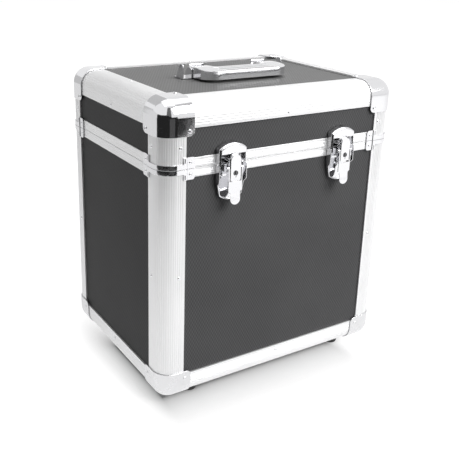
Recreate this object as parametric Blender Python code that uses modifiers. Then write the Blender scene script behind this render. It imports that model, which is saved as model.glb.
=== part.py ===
"""A record carrying case: laminated panels held in aluminium edge bars, with a hinged lid.

Metres, +Z up. The latches are on the front, which faces -Y. The origin is on the floor, under the
middle of the object's box, so the body stands a little behind it to make room for the latches.
"""
import math

import bmesh
import bpy
from mathutils import Matrix, Vector

# The body
WIDTH = 0.350               # over the edge bars, left to right
DEPTH = 0.268               # over the edge bars, front to back
BODY_HEIGHT = 0.379         # from the bottom edge bars to the top of the lid
LID_HEIGHT = 0.0788         # from the split line to the top of the lid
FOOT_HEIGHT = 0.008         # the body's height above the floor
CLEARANCE = 0.0003          # between pieces that touch
OVERRUN = 0.004             # how far a cutter runs past what it cuts
SEAM = 0.0001               # a joined part's faces lie this far inside the faces beside them
WELD = 0.00001              # vertices this close are one

# Panels and edge bars
PANEL = 0.006
BAR_LEG = 0.032             # the width of each face of an edge bar
BAR_WALL = 0.002
BAR_RADIUS = 0.020          # the round outer edge
BAR_LIP = 0.0015            # the inner wall of the panel slot
BAR_LIP_REACH = 0.010       # how far that wall runs along the panel
ARC_STEPS = 8

# The rims that meet at the split line
RIM_RECESS = 0.0008         # the rim's face lies this far behind the edge bars
RIM_INNER_RADIUS = 0.002
BASE_RIM_HEIGHT = 0.0112
BASE_RIM_WEB = 0.003
LID_RIM_HEIGHT = 0.0118
LID_RIM_WEB = 0.0052
TONGUE_INSET = 0.0046
TONGUE_WIDTH = 0.0016
TONGUE_HEIGHT = 0.0024
GROOVE_CLEARANCE = 0.0009   # to each side of the tongue and over it

# Corner caps
CAP_WALL = 0.0012
CAP_REACH = 0.042           # along the horizontal edges
TOP_CAP_DROP = 0.041        # down the lid's post
BOTTOM_CAP_RISE = 0.0365    # up the base's post
CAP_CORNER = 0.007          # the round corners of its three lobes
CAP_STEPS = 6
LOBE_STEPS = 3

# Braces round the corners at the split line
BRACE_WALL = 0.0012
BRACE_BAND = 0.006          # the height of the band round the post
BRACE_EAR_START = 0.028
BRACE_EAR_REACH = 0.043
BRACE_OVERLAP = 0.002       # how far an ear runs past its rim
BRACE_CORNER = 0.003
BRACE_STEP = 0.001          # the length of the step down to the rim
BRACE_SLOT_WIDTH = 0.0012
BRACE_SLOT_HEIGHT = 0.005
BRACE_STEPS = 4

# Feet
FOOT_RADIUS = 0.0110
FOOT_TAPER = 0.0015
FOOT_EDGE_X = 0.055         # from the side face to a foot's middle
FOOT_EDGE_Y = 0.026         # from the front or back face
FOOT_CUP = 0.004            # the radius of the screw's recess
FOOT_CUP_DEPTH = 0.003

# The rear hinge
HINGE_END_GAP = 0.006       # between a brace's end and the hinge
HINGE_LEAF = 0.0012
HINGE_LEAF_HEIGHT = 0.0108
HINGE_KNUCKLE = 0.0026      # the knuckles' radius
HINGE_PIN = 0.0012
HINGE_BORE_GAP = 0.00025
HINGE_AXIS_OUT = 0.0023     # from the back face to the pin
HINGE_KNUCKLES = 9
HINGE_RELIEF = 0.0005
HINGE_SIDES = 20

# The folding handle on the lid
HANDLE_HALF = 0.064         # half the handle's length
HANDLE_ARM = 0.026          # the width of each arm, beside the finger gap
HANDLE_FRONT = 0.0465       # from the pivot to the grip's front
HANDLE_GRIP = 0.029         # the grip's width
HANDLE_CORNER = 0.020
HANDLE_GAP_CORNER = 0.006
HANDLE_LIFT = 0.0036        # the grip's underside, over the lid
HANDLE_FRONT_TOP = 0.0126
HANDLE_BACK_TOP = 0.0162
HANDLE_PIVOT_HEIGHT = 0.0080
HANDLE_EYE = 0.0073         # the arm's round end
HANDLE_PIVOT_BORE = 0.0026
HANDLE_PIVOT_Y = -0.0037    # from the lid's middle
HANDLE_STEPS = 6
RIB_COUNT = 3
RIB_WIDTH = 0.0016
RIB_DEPTH = 0.0008
RIB_END = 0.022             # from the handle's end to where its ribs end
RIB_PITCH = 0.0065

# Its two brackets
BRACKET_WALL = 0.0015
BRACKET_FRONT = 0.0065      # from the pivot to the base plate's front
BRACKET_BACK = 0.0160
BRACKET_REACH = 0.0145      # from the handle's end to the outside of the wing
WING_HEIGHT = 0.0195
WING_TOP = 0.009            # the wing's length at its top
WING_BACK = 0.012           # from the pivot to its foot
EAR_RADIUS = 0.0092
EAR_TOP = 0.0150
STOP_GAP = 0.0008           # between the upright handle and the stop wall
STOP_HEIGHT = 0.017
STOP_END = 0.004            # from the handle's end to the wall's
PIVOT_RADIUS = 0.0022
PIVOT_STEPS = 16

# The latches
LATCH_EDGE = 0.091          # from the side face to a latch's middle
LATCH_WALL = 0.0012
LATCH_SPLIT_GAP = 0.0006    # from the split line to each plate
CATCH_HALF = 0.019
CATCH_SIDE_TOP = 0.0190
CATCH_PEAK = 0.0260
CATCH_DEPTH = 0.0080        # how far its face stands out from the edge bars
CATCH_OPEN_TOP = 0.0128     # the top of the recess
CATCH_ARCH = 0.0094         # the radius of the round part of the recess
CATCH_EDGE = 0.0010
STRIKE_HALF = 0.005
STRIKE_LOW = 0.0030
STRIKE_HIGH = 0.0050
STRIKE_OUT = 0.0062
BASE_HALF = 0.0195
BASE_SHOULDER = 0.020       # the height of its straight sides
BASE_FOOT_HALF = 0.0155
BASE_FOOT = 0.0390          # where its round bottom begins
BASE_BOTTOM = 0.0445
BASE_DEPTH = 0.0080
BASE_LOW_DEPTH = 0.0036
BASE_SLOPE = 0.005
BASE_EAR_HEIGHT = 0.0052
LEVER_PIVOT_OUT = 0.0103
LEVER_PIVOT_DOWN = 0.0038
LEVER_PIN = 0.0014
LEVER_EYE = 0.0027
LEVER_GAP = 0.0003          # between the lever, the hook and the ears
LEVER_OUT = 0.0132          # the front face of the hook and the lever
TAB_TOP = 0.0194
TAB_SIDE = 0.0310            # the end of the tab's wide part
TAB_SHOULDER = 0.0345
TAB_TIP = 0.0480
TAB_HALF = 0.0070
TAB_RISE = 0.0012           # the tab's tip stands out this much more
HOOK_HALF = 0.0080
HOOK_PIVOT_OUT = 0.0093
HOOK_PIVOT_DOWN = 0.0130
HOOK_TOP = 0.0136
HOOK_BOTTOM = 0.0172
HOOK_BACK = 0.0060          # the back of its side walls
HOOK_TOP_BACK = 0.0085      # the back of its round top
CLAW_HALF = 0.0045
CLAW_THICK = 0.0015
CLAW_BACK = 0.0020
LOCK_RADIUS = 0.0031
LOCK_GAP = 0.0002
LOCK_DOWN = 0.0095
LOCK_RECESS = 0.0008
LOCK_BACK = 0.0065
KEY_WIDTH = 0.0011
KEY_HEIGHT = 0.0042
KEY_DEPTH = 0.0030
LATCH_STEPS = 8

# Heights and planes of the body, worked out from the sizes above
BOTTOM_Z = FOOT_HEIGHT
TOP_Z = FOOT_HEIGHT + BODY_HEIGHT
SPLIT_Z = TOP_Z - LID_HEIGHT
FRONT_REACH = LEVER_OUT + TAB_RISE
BACK_REACH = HINGE_AXIS_OUT + HINGE_KNUCKLE
CENTRE_Y = (FRONT_REACH - BACK_REACH) / 2
FRONT_Y = CENTRE_Y - DEPTH / 2
BACK_Y = CENTRE_Y + DEPTH / 2
SIDE_X = WIDTH / 2
LATCH_X = SIDE_X - LATCH_EDGE
SLOT_IN = BAR_WALL + PANEL + 2 * CLEARANCE
LIP_IN = SLOT_IN + BAR_LIP
PANEL_FACE = BAR_WALL + CLEARANCE
LID_TOP_Z = TOP_Z - PANEL_FACE
BASE_WEB_Z = SPLIT_Z - CLEARANCE / 2 - BASE_RIM_WEB
LID_WEB_Z = SPLIT_Z + CLEARANCE / 2 + LID_RIM_WEB
HINGE_LENGTH = WIDTH - 2 * (BRACE_EAR_REACH + HINGE_END_GAP)
HANDLE_GAP_HALF = HANDLE_HALF - HANDLE_ARM
RIB_HALF = HANDLE_HALF - RIB_END
BRACKET_OUT = HANDLE_HALF + BRACKET_REACH
HINGE_AT = Vector((0, BACK_Y + HINGE_AXIS_OUT, SPLIT_Z))
HANDLE_AT = Vector((0, CENTRE_Y + HANDLE_PIVOT_Y, LID_TOP_Z + HANDLE_PIVOT_HEIGHT))

# Where an outline lies: its two axes, and the way it is extruded
PLAN = Matrix.Identity(4)
FRONT = Matrix(((1, 0, 0, 0), (0, 0, -1, 0), (0, 1, 0, 0), (0, 0, 0, 1)))
SIDE = Matrix(((0, 0, -1, 0), (-1, 0, 0, 0), (0, 1, 0, 0), (0, 0, 0, 1)))

for old in list(bpy.data.objects):
    bpy.data.objects.remove(old, do_unlink=True)
PARTS = bpy.data.collections.new("record_case")
CUTTERS = bpy.data.collections.new("cutters")
bpy.context.scene.collection.children.link(PARTS)
bpy.context.scene.collection.children.link(CUTTERS)


def material(name, colour, roughness, metallic):
    made = bpy.data.materials.new(name)
    made.use_nodes = True
    shader = made.node_tree.nodes["Principled BSDF"]
    shader.inputs["Base Color"].default_value = (*colour, 1)
    shader.inputs["Roughness"].default_value = roughness
    shader.inputs["Metallic"].default_value = metallic
    return made


LAMINATE = material("laminate", (0.085, 0.085, 0.088), 0.6, 0)
ALUMINIUM = material("aluminium", (0.86, 0.86, 0.87), 0.35, 1)
CHROME = material("chrome", (0.80, 0.80, 0.82), 0.12, 1)
SATIN_STEEL = material("satin_steel", (0.78, 0.78, 0.79), 0.3, 1)
DARK_STEEL = material("dark_steel", (0.20, 0.20, 0.21), 0.35, 1)
RUBBER = material("rubber", (0.02, 0.02, 0.02), 0.8, 0)


def work_object(mesh):
    made = bpy.data.objects.new("work", mesh)
    CUTTERS.objects.link(made)
    return made


def evaluated_mesh(obj):
    bpy.context.view_layer.update()
    return bpy.data.meshes.new_from_object(obj.evaluated_get(bpy.context.evaluated_depsgraph_get()))


def welded(mesh):
    """The mesh with its doubles merged and its faces pointing out."""
    edit = bmesh.new()
    edit.from_mesh(mesh)
    bmesh.ops.remove_doubles(edit, verts=edit.verts, dist=WELD)
    bmesh.ops.recalc_face_normals(edit, faces=edit.faces)
    edit.to_mesh(mesh)
    edit.free()
    return mesh


def prism(outlines, low, high, axes=PLAN):
    """Closed outlines, the later ones holes in the first, extruded from low to high."""
    curve = bpy.data.curves.new("outline", "CURVE")
    curve.dimensions = "2D"
    curve.fill_mode = "BOTH"
    curve.extrude = (high - low) / 2
    for outline in outlines:
        spline = curve.splines.new("POLY")
        spline.points.add(len(outline) - 1)
        for point, (a, b) in zip(spline.points, outline):
            point.co = (a, b, 0, 1)
        spline.use_cyclic_u = True
    guide = work_object(curve)
    guide.matrix_world = axes @ Matrix.Translation((0, 0, (low + high) / 2))
    mesh = evaluated_mesh(guide)
    mesh.transform(guide.matrix_world)
    bpy.data.objects.remove(guide)
    return work_object(welded(mesh))


def box(low, high):
    edit = bmesh.new()
    bmesh.ops.create_cube(edit, size=1)
    size = [b - a for a, b in zip(low, high)]
    middle = [(a + b) / 2 for a, b in zip(low, high)]
    bmesh.ops.transform(edit, matrix=Matrix.LocRotScale(middle, None, size), verts=edit.verts)
    mesh = bpy.data.meshes.new("box")
    edit.to_mesh(mesh)
    edit.free()
    return work_object(mesh)


def cylinder(start, end, radius, sides, end_radius=None):
    """A round bar from start to end, tapered if it has an end radius."""
    start, end = Vector(start), Vector(end)
    along = end - start
    turn = along.to_track_quat("Z", "Y").to_matrix().to_4x4()
    edit = bmesh.new()
    bmesh.ops.create_cone(edit, cap_ends=True, segments=sides, radius1=radius,
                          radius2=radius if end_radius is None else end_radius, depth=along.length,
                          matrix=Matrix.Translation((start + end) / 2) @ turn)
    mesh = bpy.data.meshes.new("round")
    edit.to_mesh(mesh)
    edit.free()
    return work_object(mesh)


def apply_modifiers(obj):
    mesh = evaluated_mesh(obj)
    obj.modifiers.clear()
    obj.data = welded(mesh)


def combine(target, operation, tools):
    for tool in tools:
        modifier = target.modifiers.new(operation.lower(), "BOOLEAN")
        modifier.operation = operation
        modifier.solver = "EXACT"
        modifier.object = tool
    apply_modifiers(target)
    for tool in tools:
        bpy.data.objects.remove(tool)
    return target


def cut(target, *tools):
    return combine(target, "DIFFERENCE", tools)


def join(target, *tools):
    return combine(target, "UNION", tools)


def round_edges(obj, radius, steps, wanted):
    """Round the edges whose two ends both pass the test."""
    edit = bmesh.new()
    edit.from_mesh(obj.data)
    bmesh.ops.dissolve_limit(edit, angle_limit=math.radians(1), verts=edit.verts, edges=edit.edges)
    edges = [e for e in edit.edges if wanted(e.verts[0].co, e.verts[1].co)]
    bmesh.ops.bevel(edit, geom=edges, offset=radius, segments=steps, profile=0.5, affect="EDGES")
    edit.to_mesh(obj.data)
    edit.free()
    return obj


def place_of(empty):
    place = Vector()
    while empty:
        place += empty.location
        empty = empty.parent
    return place


def keep(obj, name, finish, parent, at=None):
    """Name a finished piece, give it its origin and hang it on its parent."""
    at = place_of(parent) if at is None else Vector(at)
    obj.data.transform(Matrix.Translation(-at))
    made = bpy.data.objects.new(name, obj.data)
    made.data.name = name
    made.data.materials.clear()
    made.data.materials.append(finish)
    made.data.shade_smooth()
    made.data.set_sharp_from_angle(angle=math.radians(30))
    bpy.data.objects.remove(obj)
    made.parent = parent
    made.location = at - place_of(parent)
    PARTS.objects.link(made)
    return made


def keep_copies(mesh, finish, places):
    """Separate objects that share one mesh: name, parent and place of each."""
    mesh.materials.clear()
    mesh.materials.append(finish)
    mesh.shade_smooth()
    mesh.set_sharp_from_angle(angle=math.radians(30))
    made = []
    for name, parent, at in places:
        copy = bpy.data.objects.new(name, mesh)
        copy.parent = parent
        copy.location = Vector(at) - place_of(parent)
        PARTS.objects.link(copy)
        made.append(copy)
    return made


def empty_at(name, place, parent=None):
    made = bpy.data.objects.new(name, None)
    made.parent = parent
    made.location = Vector(place) - place_of(parent)
    PARTS.objects.link(made)
    return made


def arc(centre, radius, start, end, steps):
    """Points on an arc, with its angles in degrees."""
    turns = [math.radians(start + (end - start) * i / steps) for i in range(steps + 1)]
    return [(centre[0] + radius * math.cos(t), centre[1] + radius * math.sin(t)) for t in turns]


def rounded_outline(inset, radius):
    """The body's outline seen from above, drawn in by an inset, with round corners."""
    x = SIDE_X - inset - radius
    y = DEPTH / 2 - inset - radius
    points = []
    for quarter, (sx, sy) in enumerate(((1, 1), (-1, 1), (-1, -1), (1, -1))):
        start = 90 * quarter
        points += arc((sx * x, CENTRE_Y + sy * y), radius, start, start + 90, ARC_STEPS)
    return points


def corner_copies(build, name, finish, parent, z, up):
    """Four copies of a corner piece, built with u and v inward from the two faces and w along up."""
    for front, sy in (("front", -1), ("back", 1)):
        for side, sx in (("left", -1), ("right", 1)):
            piece = build()
            mirror = Matrix.Diagonal((-sx, -sy, up, 1))
            piece.data.transform(mirror)
            if mirror.determinant() < 0:
                piece.data.flip_normals()
            at = Vector((sx * SIDE_X, CENTRE_Y + sy * DEPTH / 2, z))
            piece.data.transform(Matrix.Translation(at))
            keep(piece, f"{name}_{front}_{side}", finish, parent, at)


def bar_outline():
    """An edge bar's section: a rounded shell with a slot for a panel on each of its two legs."""
    seat = BAR_RADIUS
    web = seat - BAR_LIP
    lip_end = seat + BAR_LIP_REACH
    inner_radius = BAR_RADIUS - BAR_WALL
    tilt = math.degrees(math.asin((BAR_RADIUS - web) / inner_radius))
    centre = (BAR_RADIUS, BAR_RADIUS)
    half = [(BAR_LEG, 0)]
    half += arc(centre, BAR_RADIUS, 270, 180, ARC_STEPS)
    half += [(0, BAR_LEG), (BAR_WALL, BAR_LEG), (BAR_WALL, seat), (SLOT_IN, seat)]
    half += [(SLOT_IN, lip_end), (LIP_IN, lip_end), (LIP_IN, web)]
    half += arc(centre, inner_radius, 180 + tilt, 270 - tilt, ARC_STEPS)
    half += [(web, LIP_IN), (lip_end, LIP_IN), (lip_end, SLOT_IN), (seat, SLOT_IN)]
    half += [(seat, BAR_WALL), (BAR_LEG, BAR_WALL)]
    return half


def panel(name, low, high, parent):
    keep(box(low, high), name, LAMINATE, parent)


def panels(parent, prefix, low_z, high_z, flat_z):
    """Four side panels and one flat one, seated in the slots of the bars round them."""
    seat = BAR_RADIUS + CLEARANCE
    x, y = SIDE_X - seat, DEPTH / 2 - seat
    face_x, face_y = SIDE_X - PANEL_FACE, DEPTH / 2 - PANEL_FACE
    for name, sy in (("front", -1), ("back", 1)):
        near, far = sorted((sy * face_y, sy * (face_y - PANEL)))
        panel(f"{prefix}_{name}_panel", (-x, CENTRE_Y + near, low_z), (x, CENTRE_Y + far, high_z),
              parent)
    for name, sx in (("left", -1), ("right", 1)):
        near, far = sorted((sx * face_x, sx * (face_x - PANEL)))
        panel(f"{prefix}_{name}_panel", (near, CENTRE_Y - y, low_z), (far, CENTRE_Y + y, high_z),
              parent)
    flat_name = "floor_panel" if prefix == "base" else "lid_top_panel"
    panel(flat_name, (-x, CENTRE_Y - y, flat_z), (x, CENTRE_Y + y, flat_z + PANEL), parent)


def posts(parent, prefix, low_z, high_z):
    corner_copies(lambda: prism([bar_outline()], 0, high_z - low_z), f"{prefix}_post", ALUMINIUM,
                  parent, low_z, 1)


def level_bar(side, sign, half_length, z, up):
    """A horizontal edge bar: u runs along up from z, and v inward from the face it lies on."""
    bar = prism([bar_outline()], -half_length, half_length)
    along, inward, last = (0, 0, 1, 0), (0, -sign, 0, 0), (0, 0, 0, 1)
    rows = (along, inward) if side == "x" else (inward, along)
    place = (0, CENTRE_Y + sign * DEPTH / 2, z) if side == "x" else (sign * SIDE_X, CENTRE_Y, z)
    turn = Matrix.Translation(place) @ Matrix((*rows, (up, 0, 0, 0), last))
    bar.data.transform(turn)
    if turn.determinant() < 0:
        bar.data.flip_normals()
    return bar


def top_bars(parent):
    short = BAR_LEG + CLEARANCE
    for name, side, sign, half in (("front", "x", -1, SIDE_X), ("back", "x", 1, SIDE_X),
                                   ("left", "y", -1, DEPTH / 2), ("right", "y", 1, DEPTH / 2)):
        bar = level_bar(side, sign, half - short, TOP_Z, -1)
        keep(bar, f"lid_{name}_edge_bar", ALUMINIUM, parent)


def bottom_frame(parent):
    """Four edge bars, mitred and welded into one ring that stays open under the corner caps."""
    ring = bmesh.new()
    for side, sign, half in (("x", -1, SIDE_X), ("x", 1, SIDE_X),
                             ("y", -1, DEPTH / 2), ("y", 1, DEPTH / 2)):
        bar = level_bar(side, sign, half + OVERRUN, BOTTOM_Z, 1)
        edit = bmesh.new()
        edit.from_mesh(bar.data)
        for end in (-1, 1):
            corner = Vector((end * SIDE_X, CENTRE_Y + sign * DEPTH / 2, 0))
            normal = Vector((end, -sign, 0))
            if side == "y":
                corner = Vector((sign * SIDE_X, CENTRE_Y + end * DEPTH / 2, 0))
                normal = Vector((-sign, end, 0))
            bmesh.ops.bisect_plane(edit, geom=edit.verts[:] + edit.edges[:] + edit.faces[:], dist=WELD,
                                   plane_co=corner, plane_no=normal, clear_outer=True)
        edit.to_mesh(bar.data)
        edit.free()
        ring.from_mesh(bar.data)
        bpy.data.objects.remove(bar)
    mesh = bpy.data.meshes.new("ring")
    ring.to_mesh(mesh)
    ring.free()
    frame = work_object(welded(mesh))
    room = BAR_RADIUS + CLEARANCE / 2
    for sx in (-1, 1):
        for sy in (-1, 1):
            xs = sorted((sx * (SIDE_X + OVERRUN), sx * (SIDE_X - room)))
            ys = sorted((sy * (DEPTH / 2 + OVERRUN), sy * (DEPTH / 2 - room)))
            cut(frame, box((xs[0], CENTRE_Y + ys[0], BOTTOM_Z - OVERRUN),
                           (xs[1], CENTRE_Y + ys[1], BOTTOM_Z + BAR_LEG + OVERRUN)))
    keep(frame, "bottom_edge_frame", ALUMINIUM, parent)


def rim(name, parent, split, height, web, up):
    """A ring round the mouth, with a slot for the panels and room at the corners for the posts."""
    def span(a, b):
        return sorted((split + up * a, split + up * b))

    ring = prism([rounded_outline(RIM_RECESS, BAR_RADIUS - RIM_RECESS),
                  rounded_outline(LIP_IN, RIM_INNER_RADIUS)], *span(0, height))
    slot = prism([rounded_outline(BAR_WALL, RIM_INNER_RADIUS),
                  rounded_outline(SLOT_IN, RIM_INNER_RADIUS)], *span(web, height + OVERRUN))
    corners = []
    reach = BAR_LEG + CLEARANCE
    low, high = span(web, height + OVERRUN)
    for sx in (-1, 1):
        for sy in (-1, 1):
            xs = sorted((sx * (SIDE_X + OVERRUN), sx * (SIDE_X - reach)))
            ys = sorted((sy * (DEPTH / 2 + OVERRUN), sy * (DEPTH / 2 - reach)))
            corners.append(box((xs[0], CENTRE_Y + ys[0], low), (xs[1], CENTRE_Y + ys[1], high)))
    cut(ring, slot, *corners)
    if up < 0:
        join(ring, tongue(-BASE_RIM_WEB / 2, TONGUE_HEIGHT, 0))
    else:
        cut(ring, tongue(-OVERRUN, TONGUE_HEIGHT + GROOVE_CLEARANCE, GROOVE_CLEARANCE))
    return keep(ring, name, ALUMINIUM, parent)


def tongue(low, high, grown):
    """The ring that stands on the base's rim, or the groove for it when it is grown."""
    outer = TONGUE_INSET - grown
    inner = TONGUE_INSET + TONGUE_WIDTH + grown
    return prism([rounded_outline(outer, BAR_RADIUS - outer), rounded_outline(inner, BAR_RADIUS - inner)],
                 SPLIT_Z + low, SPLIT_Z + high)


def corner_cap(rise):
    """A pressed shell with a ball corner and three round-cornered lobes, w running along the post."""
    out = CLEARANCE + CAP_WALL
    edit = bmesh.new()
    bmesh.ops.create_cube(edit, size=1)
    size = Vector((CAP_REACH, CAP_REACH, rise)) + Vector((out, out, out))
    middle = size / 2 - Vector((out, out, out))
    bmesh.ops.transform(edit, matrix=Matrix.LocRotScale(middle, None, size), verts=edit.verts)
    far = [f for f in edit.faces if max(f.normal) > 0.5]
    bmesh.ops.delete(edit, geom=far, context="FACES")
    ball = [e for e in edit.edges if len(e.link_faces) == 2]
    bmesh.ops.bevel(edit, geom=ball, offset=BAR_RADIUS + out, segments=CAP_STEPS, profile=0.5,
                    affect="EDGES")
    reach = (CAP_REACH, CAP_REACH, rise)
    lobes = [v for v in edit.verts if sum(abs(c - r) < WELD for c, r in zip(v.co, reach)) == 2]
    bmesh.ops.bevel(edit, geom=lobes, offset=CAP_CORNER, segments=LOBE_STEPS, profile=0.5,
                    affect="VERTICES")
    bmesh.ops.recalc_face_normals(edit, faces=edit.faces)
    ear = max(edit.faces, key=lambda f: f.calc_area())
    if sum(ear.normal) > 0:
        bmesh.ops.reverse_faces(edit, faces=edit.faces)
    mesh = bpy.data.meshes.new("cap")
    edit.to_mesh(mesh)
    edit.free()
    cap = work_object(mesh)
    shell = cap.modifiers.new("wall", "SOLIDIFY")
    shell.thickness = CAP_WALL
    shell.offset = -1
    shell.use_even_offset = True
    apply_modifiers(cap)
    return cap


def brace_outline():
    """A strip that follows the post, then steps down to the rim at each end."""
    def line(out, rim_face):
        bend = BAR_LEG + CLEARANCE
        flat = [(BRACE_EAR_REACH, rim_face), (bend + BRACE_STEP, rim_face), (bend, -out)]
        curve = arc((BAR_RADIUS, BAR_RADIUS), BAR_RADIUS + out, 270, 180, CAP_STEPS)
        return flat + curve + [(b, a) for a, b in reversed(flat)]

    inner = line(CLEARANCE, RIM_RECESS - CLEARANCE)
    outer = line(CLEARANCE + BRACE_WALL, RIM_RECESS - CLEARANCE - BRACE_WALL)
    return inner + outer[::-1]


def corner_brace(ear_height):
    """Two ears joined by a band round the post; w runs away from the split line."""
    low = CLEARANCE / 2
    brace = prism([brace_outline()], low, ear_height)
    past = BRACE_WALL + OVERRUN
    room = box((-past, -past, BRACE_BAND), (BRACE_EAR_START, BRACE_EAR_START, ear_height + OVERRUN))
    slots = []
    for along in (0, 1):
        corner = [0, 0, (BRACE_BAND + ear_height - BRACE_SLOT_HEIGHT) / 2]
        corner[along] = BRACE_EAR_START + BRACE_SLOT_WIDTH
        corner[1 - along] = -past
        size = [BRACE_SLOT_WIDTH, past + OVERRUN, BRACE_SLOT_HEIGHT]
        if along == 1:
            size[0], size[1] = size[1], size[0]
        slots.append(box(corner, [a + b for a, b in zip(corner, size)]))
    cut(brace, room, *slots)

    def end_corner(a, b):
        same = [abs(p - q) < WELD for p, q in zip(a, b)]
        at_end = max(a.x, a.y) > BRACE_EAR_REACH - WELD and max(b.x, b.y) > BRACE_EAR_REACH - WELD
        return at_end and same[2] and abs(a.z - ear_height) < WELD
    return round_edges(brace, BRACE_CORNER, BRACE_STEPS, end_corner)


def feet(parent):
    top = FOOT_HEIGHT - CLEARANCE
    foot = cylinder((0, 0, 0), (0, 0, top), FOOT_RADIUS - FOOT_TAPER, PIVOT_STEPS, FOOT_RADIUS)
    cup = cylinder((0, 0, -OVERRUN), (0, 0, FOOT_CUP_DEPTH), FOOT_CUP, PIVOT_STEPS)
    cut(foot, cup)
    x = SIDE_X - FOOT_EDGE_X
    y = DEPTH / 2 - FOOT_EDGE_Y
    places = [(f"foot_{front}_{side}", parent, (sx * x, CENTRE_Y + sy * y, 0))
              for front, sy in (("front", -1), ("back", 1)) for side, sx in (("left", -1), ("right", 1))]
    keep_copies(foot.data, RUBBER, places)
    bpy.data.objects.remove(foot)


def hinge_leaf(name, parent, up, first, bored):
    """A leaf, its tabs and every second knuckle, around the pin's axis at the origin."""
    pitch = HINGE_LENGTH / HINGE_KNUCKLES
    back = RIM_RECESS - CLEARANCE
    leaf_low, leaf_high = -HINGE_AXIS_OUT - back, -HINGE_AXIS_OUT - back + HINGE_LEAF
    start = HINGE_KNUCKLE + HINGE_RELIEF
    zs = sorted((up * start, up * HINGE_LEAF_HEIGHT))
    leaf = box((-HINGE_LENGTH / 2, leaf_low, zs[0]), (HINGE_LENGTH / 2, leaf_high, zs[1]))
    added = []
    bores = []
    tab = sorted((0, up * (start + WELD * 2 + HINGE_RELIEF)))
    for index in range(first, HINGE_KNUCKLES, 2):
        low = -HINGE_LENGTH / 2 + pitch * index + HINGE_RELIEF / 2
        high = low + pitch - HINGE_RELIEF
        added.append(box((low + SEAM, leaf_low, tab[0]), (high - SEAM, leaf_high, tab[1])))
        added.append(cylinder((low, 0, 0), (high, 0, 0), HINGE_KNUCKLE, HINGE_SIDES))
    join(leaf, *added)
    if bored:
        reach = HINGE_LENGTH / 2 + OVERRUN
        bores.append(cylinder((-reach, 0, 0), (reach, 0, 0), HINGE_PIN + HINGE_BORE_GAP, HINGE_SIDES))
        cut(leaf, *bores)
    else:
        reach = (HINGE_LENGTH - HINGE_RELIEF) / 2
        join(leaf, cylinder((-reach, 0, 0), (reach, 0, 0), HINGE_PIN, HINGE_SIDES))
    leaf.data.transform(Matrix.Translation(HINGE_AT))
    keep(leaf, name, ALUMINIUM, parent, HINGE_AT)


def handle_plan():
    """The handle seen from above, with y forward of the pivot negative."""
    front = -HANDLE_FRONT
    inner = front + HANDLE_GRIP
    back = HANDLE_EYE
    corner = (HANDLE_HALF - HANDLE_CORNER, front + HANDLE_CORNER)
    gap = (HANDLE_GAP_HALF - HANDLE_GAP_CORNER, inner + HANDLE_GAP_CORNER)
    right = [(HANDLE_GAP_HALF, back), (HANDLE_HALF, back)]
    right += [(a, b) for a, b in arc(corner, HANDLE_CORNER, 0, -90, HANDLE_STEPS)]
    left = [(-a, b) for a, b in reversed(right)]
    hole = arc((-gap[0], gap[1]), HANDLE_GAP_CORNER, 180, 270, HANDLE_STEPS)
    hole += arc(gap, HANDLE_GAP_CORNER, 270, 360, HANDLE_STEPS)
    return right + left + hole


def handle_profile():
    """The handle seen from its end: out is forward of the pivot, up is over it."""
    bottom = HANDLE_LIFT - HANDLE_PIVOT_HEIGHT
    front_top = HANDLE_FRONT_TOP - HANDLE_PIVOT_HEIGHT
    back_top = HANDLE_BACK_TOP - HANDLE_PIVOT_HEIGHT
    crest = HANDLE_FRONT - HANDLE_GRIP
    return [(HANDLE_FRONT, bottom), (HANDLE_FRONT, front_top), (crest, back_top)] + arc(
        (0, 0), HANDLE_EYE, 90, 270, HANDLE_STEPS * 2)


def handle(parent):
    top = HANDLE_BACK_TOP
    grip = prism([handle_plan()], -HANDLE_PIVOT_HEIGHT, top)
    outline = prism([handle_profile()], -HANDLE_HALF - OVERRUN, HANDLE_HALF + OVERRUN, SIDE)
    combine(grip, "INTERSECT", (outline,))
    reach = HANDLE_HALF + OVERRUN
    cut(grip, cylinder((-reach, 0, 0), (reach, 0, 0), HANDLE_PIVOT_BORE, PIVOT_STEPS))
    rise = HANDLE_BACK_TOP - HANDLE_FRONT_TOP
    tilt = math.atan2(rise, HANDLE_GRIP)
    ribs = []
    for index in range(RIB_COUNT):
        out = HANDLE_FRONT - HANDLE_GRIP / 2 + (index - (RIB_COUNT - 1) / 2) * RIB_PITCH
        height = HANDLE_BACK_TOP - (out - HANDLE_FRONT + HANDLE_GRIP) * math.tan(tilt) - HANDLE_PIVOT_HEIGHT
        ribs.append(box((-RIB_HALF, -out - RIB_WIDTH / 2, height - RIB_DEPTH),
                        (RIB_HALF, -out + RIB_WIDTH / 2, height + OVERRUN)))
    cut(grip, *ribs)
    grip.data.transform(Matrix.Translation(HANDLE_AT))
    return keep(grip, "handle_grip", CHROME, parent, HANDLE_AT)


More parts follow.
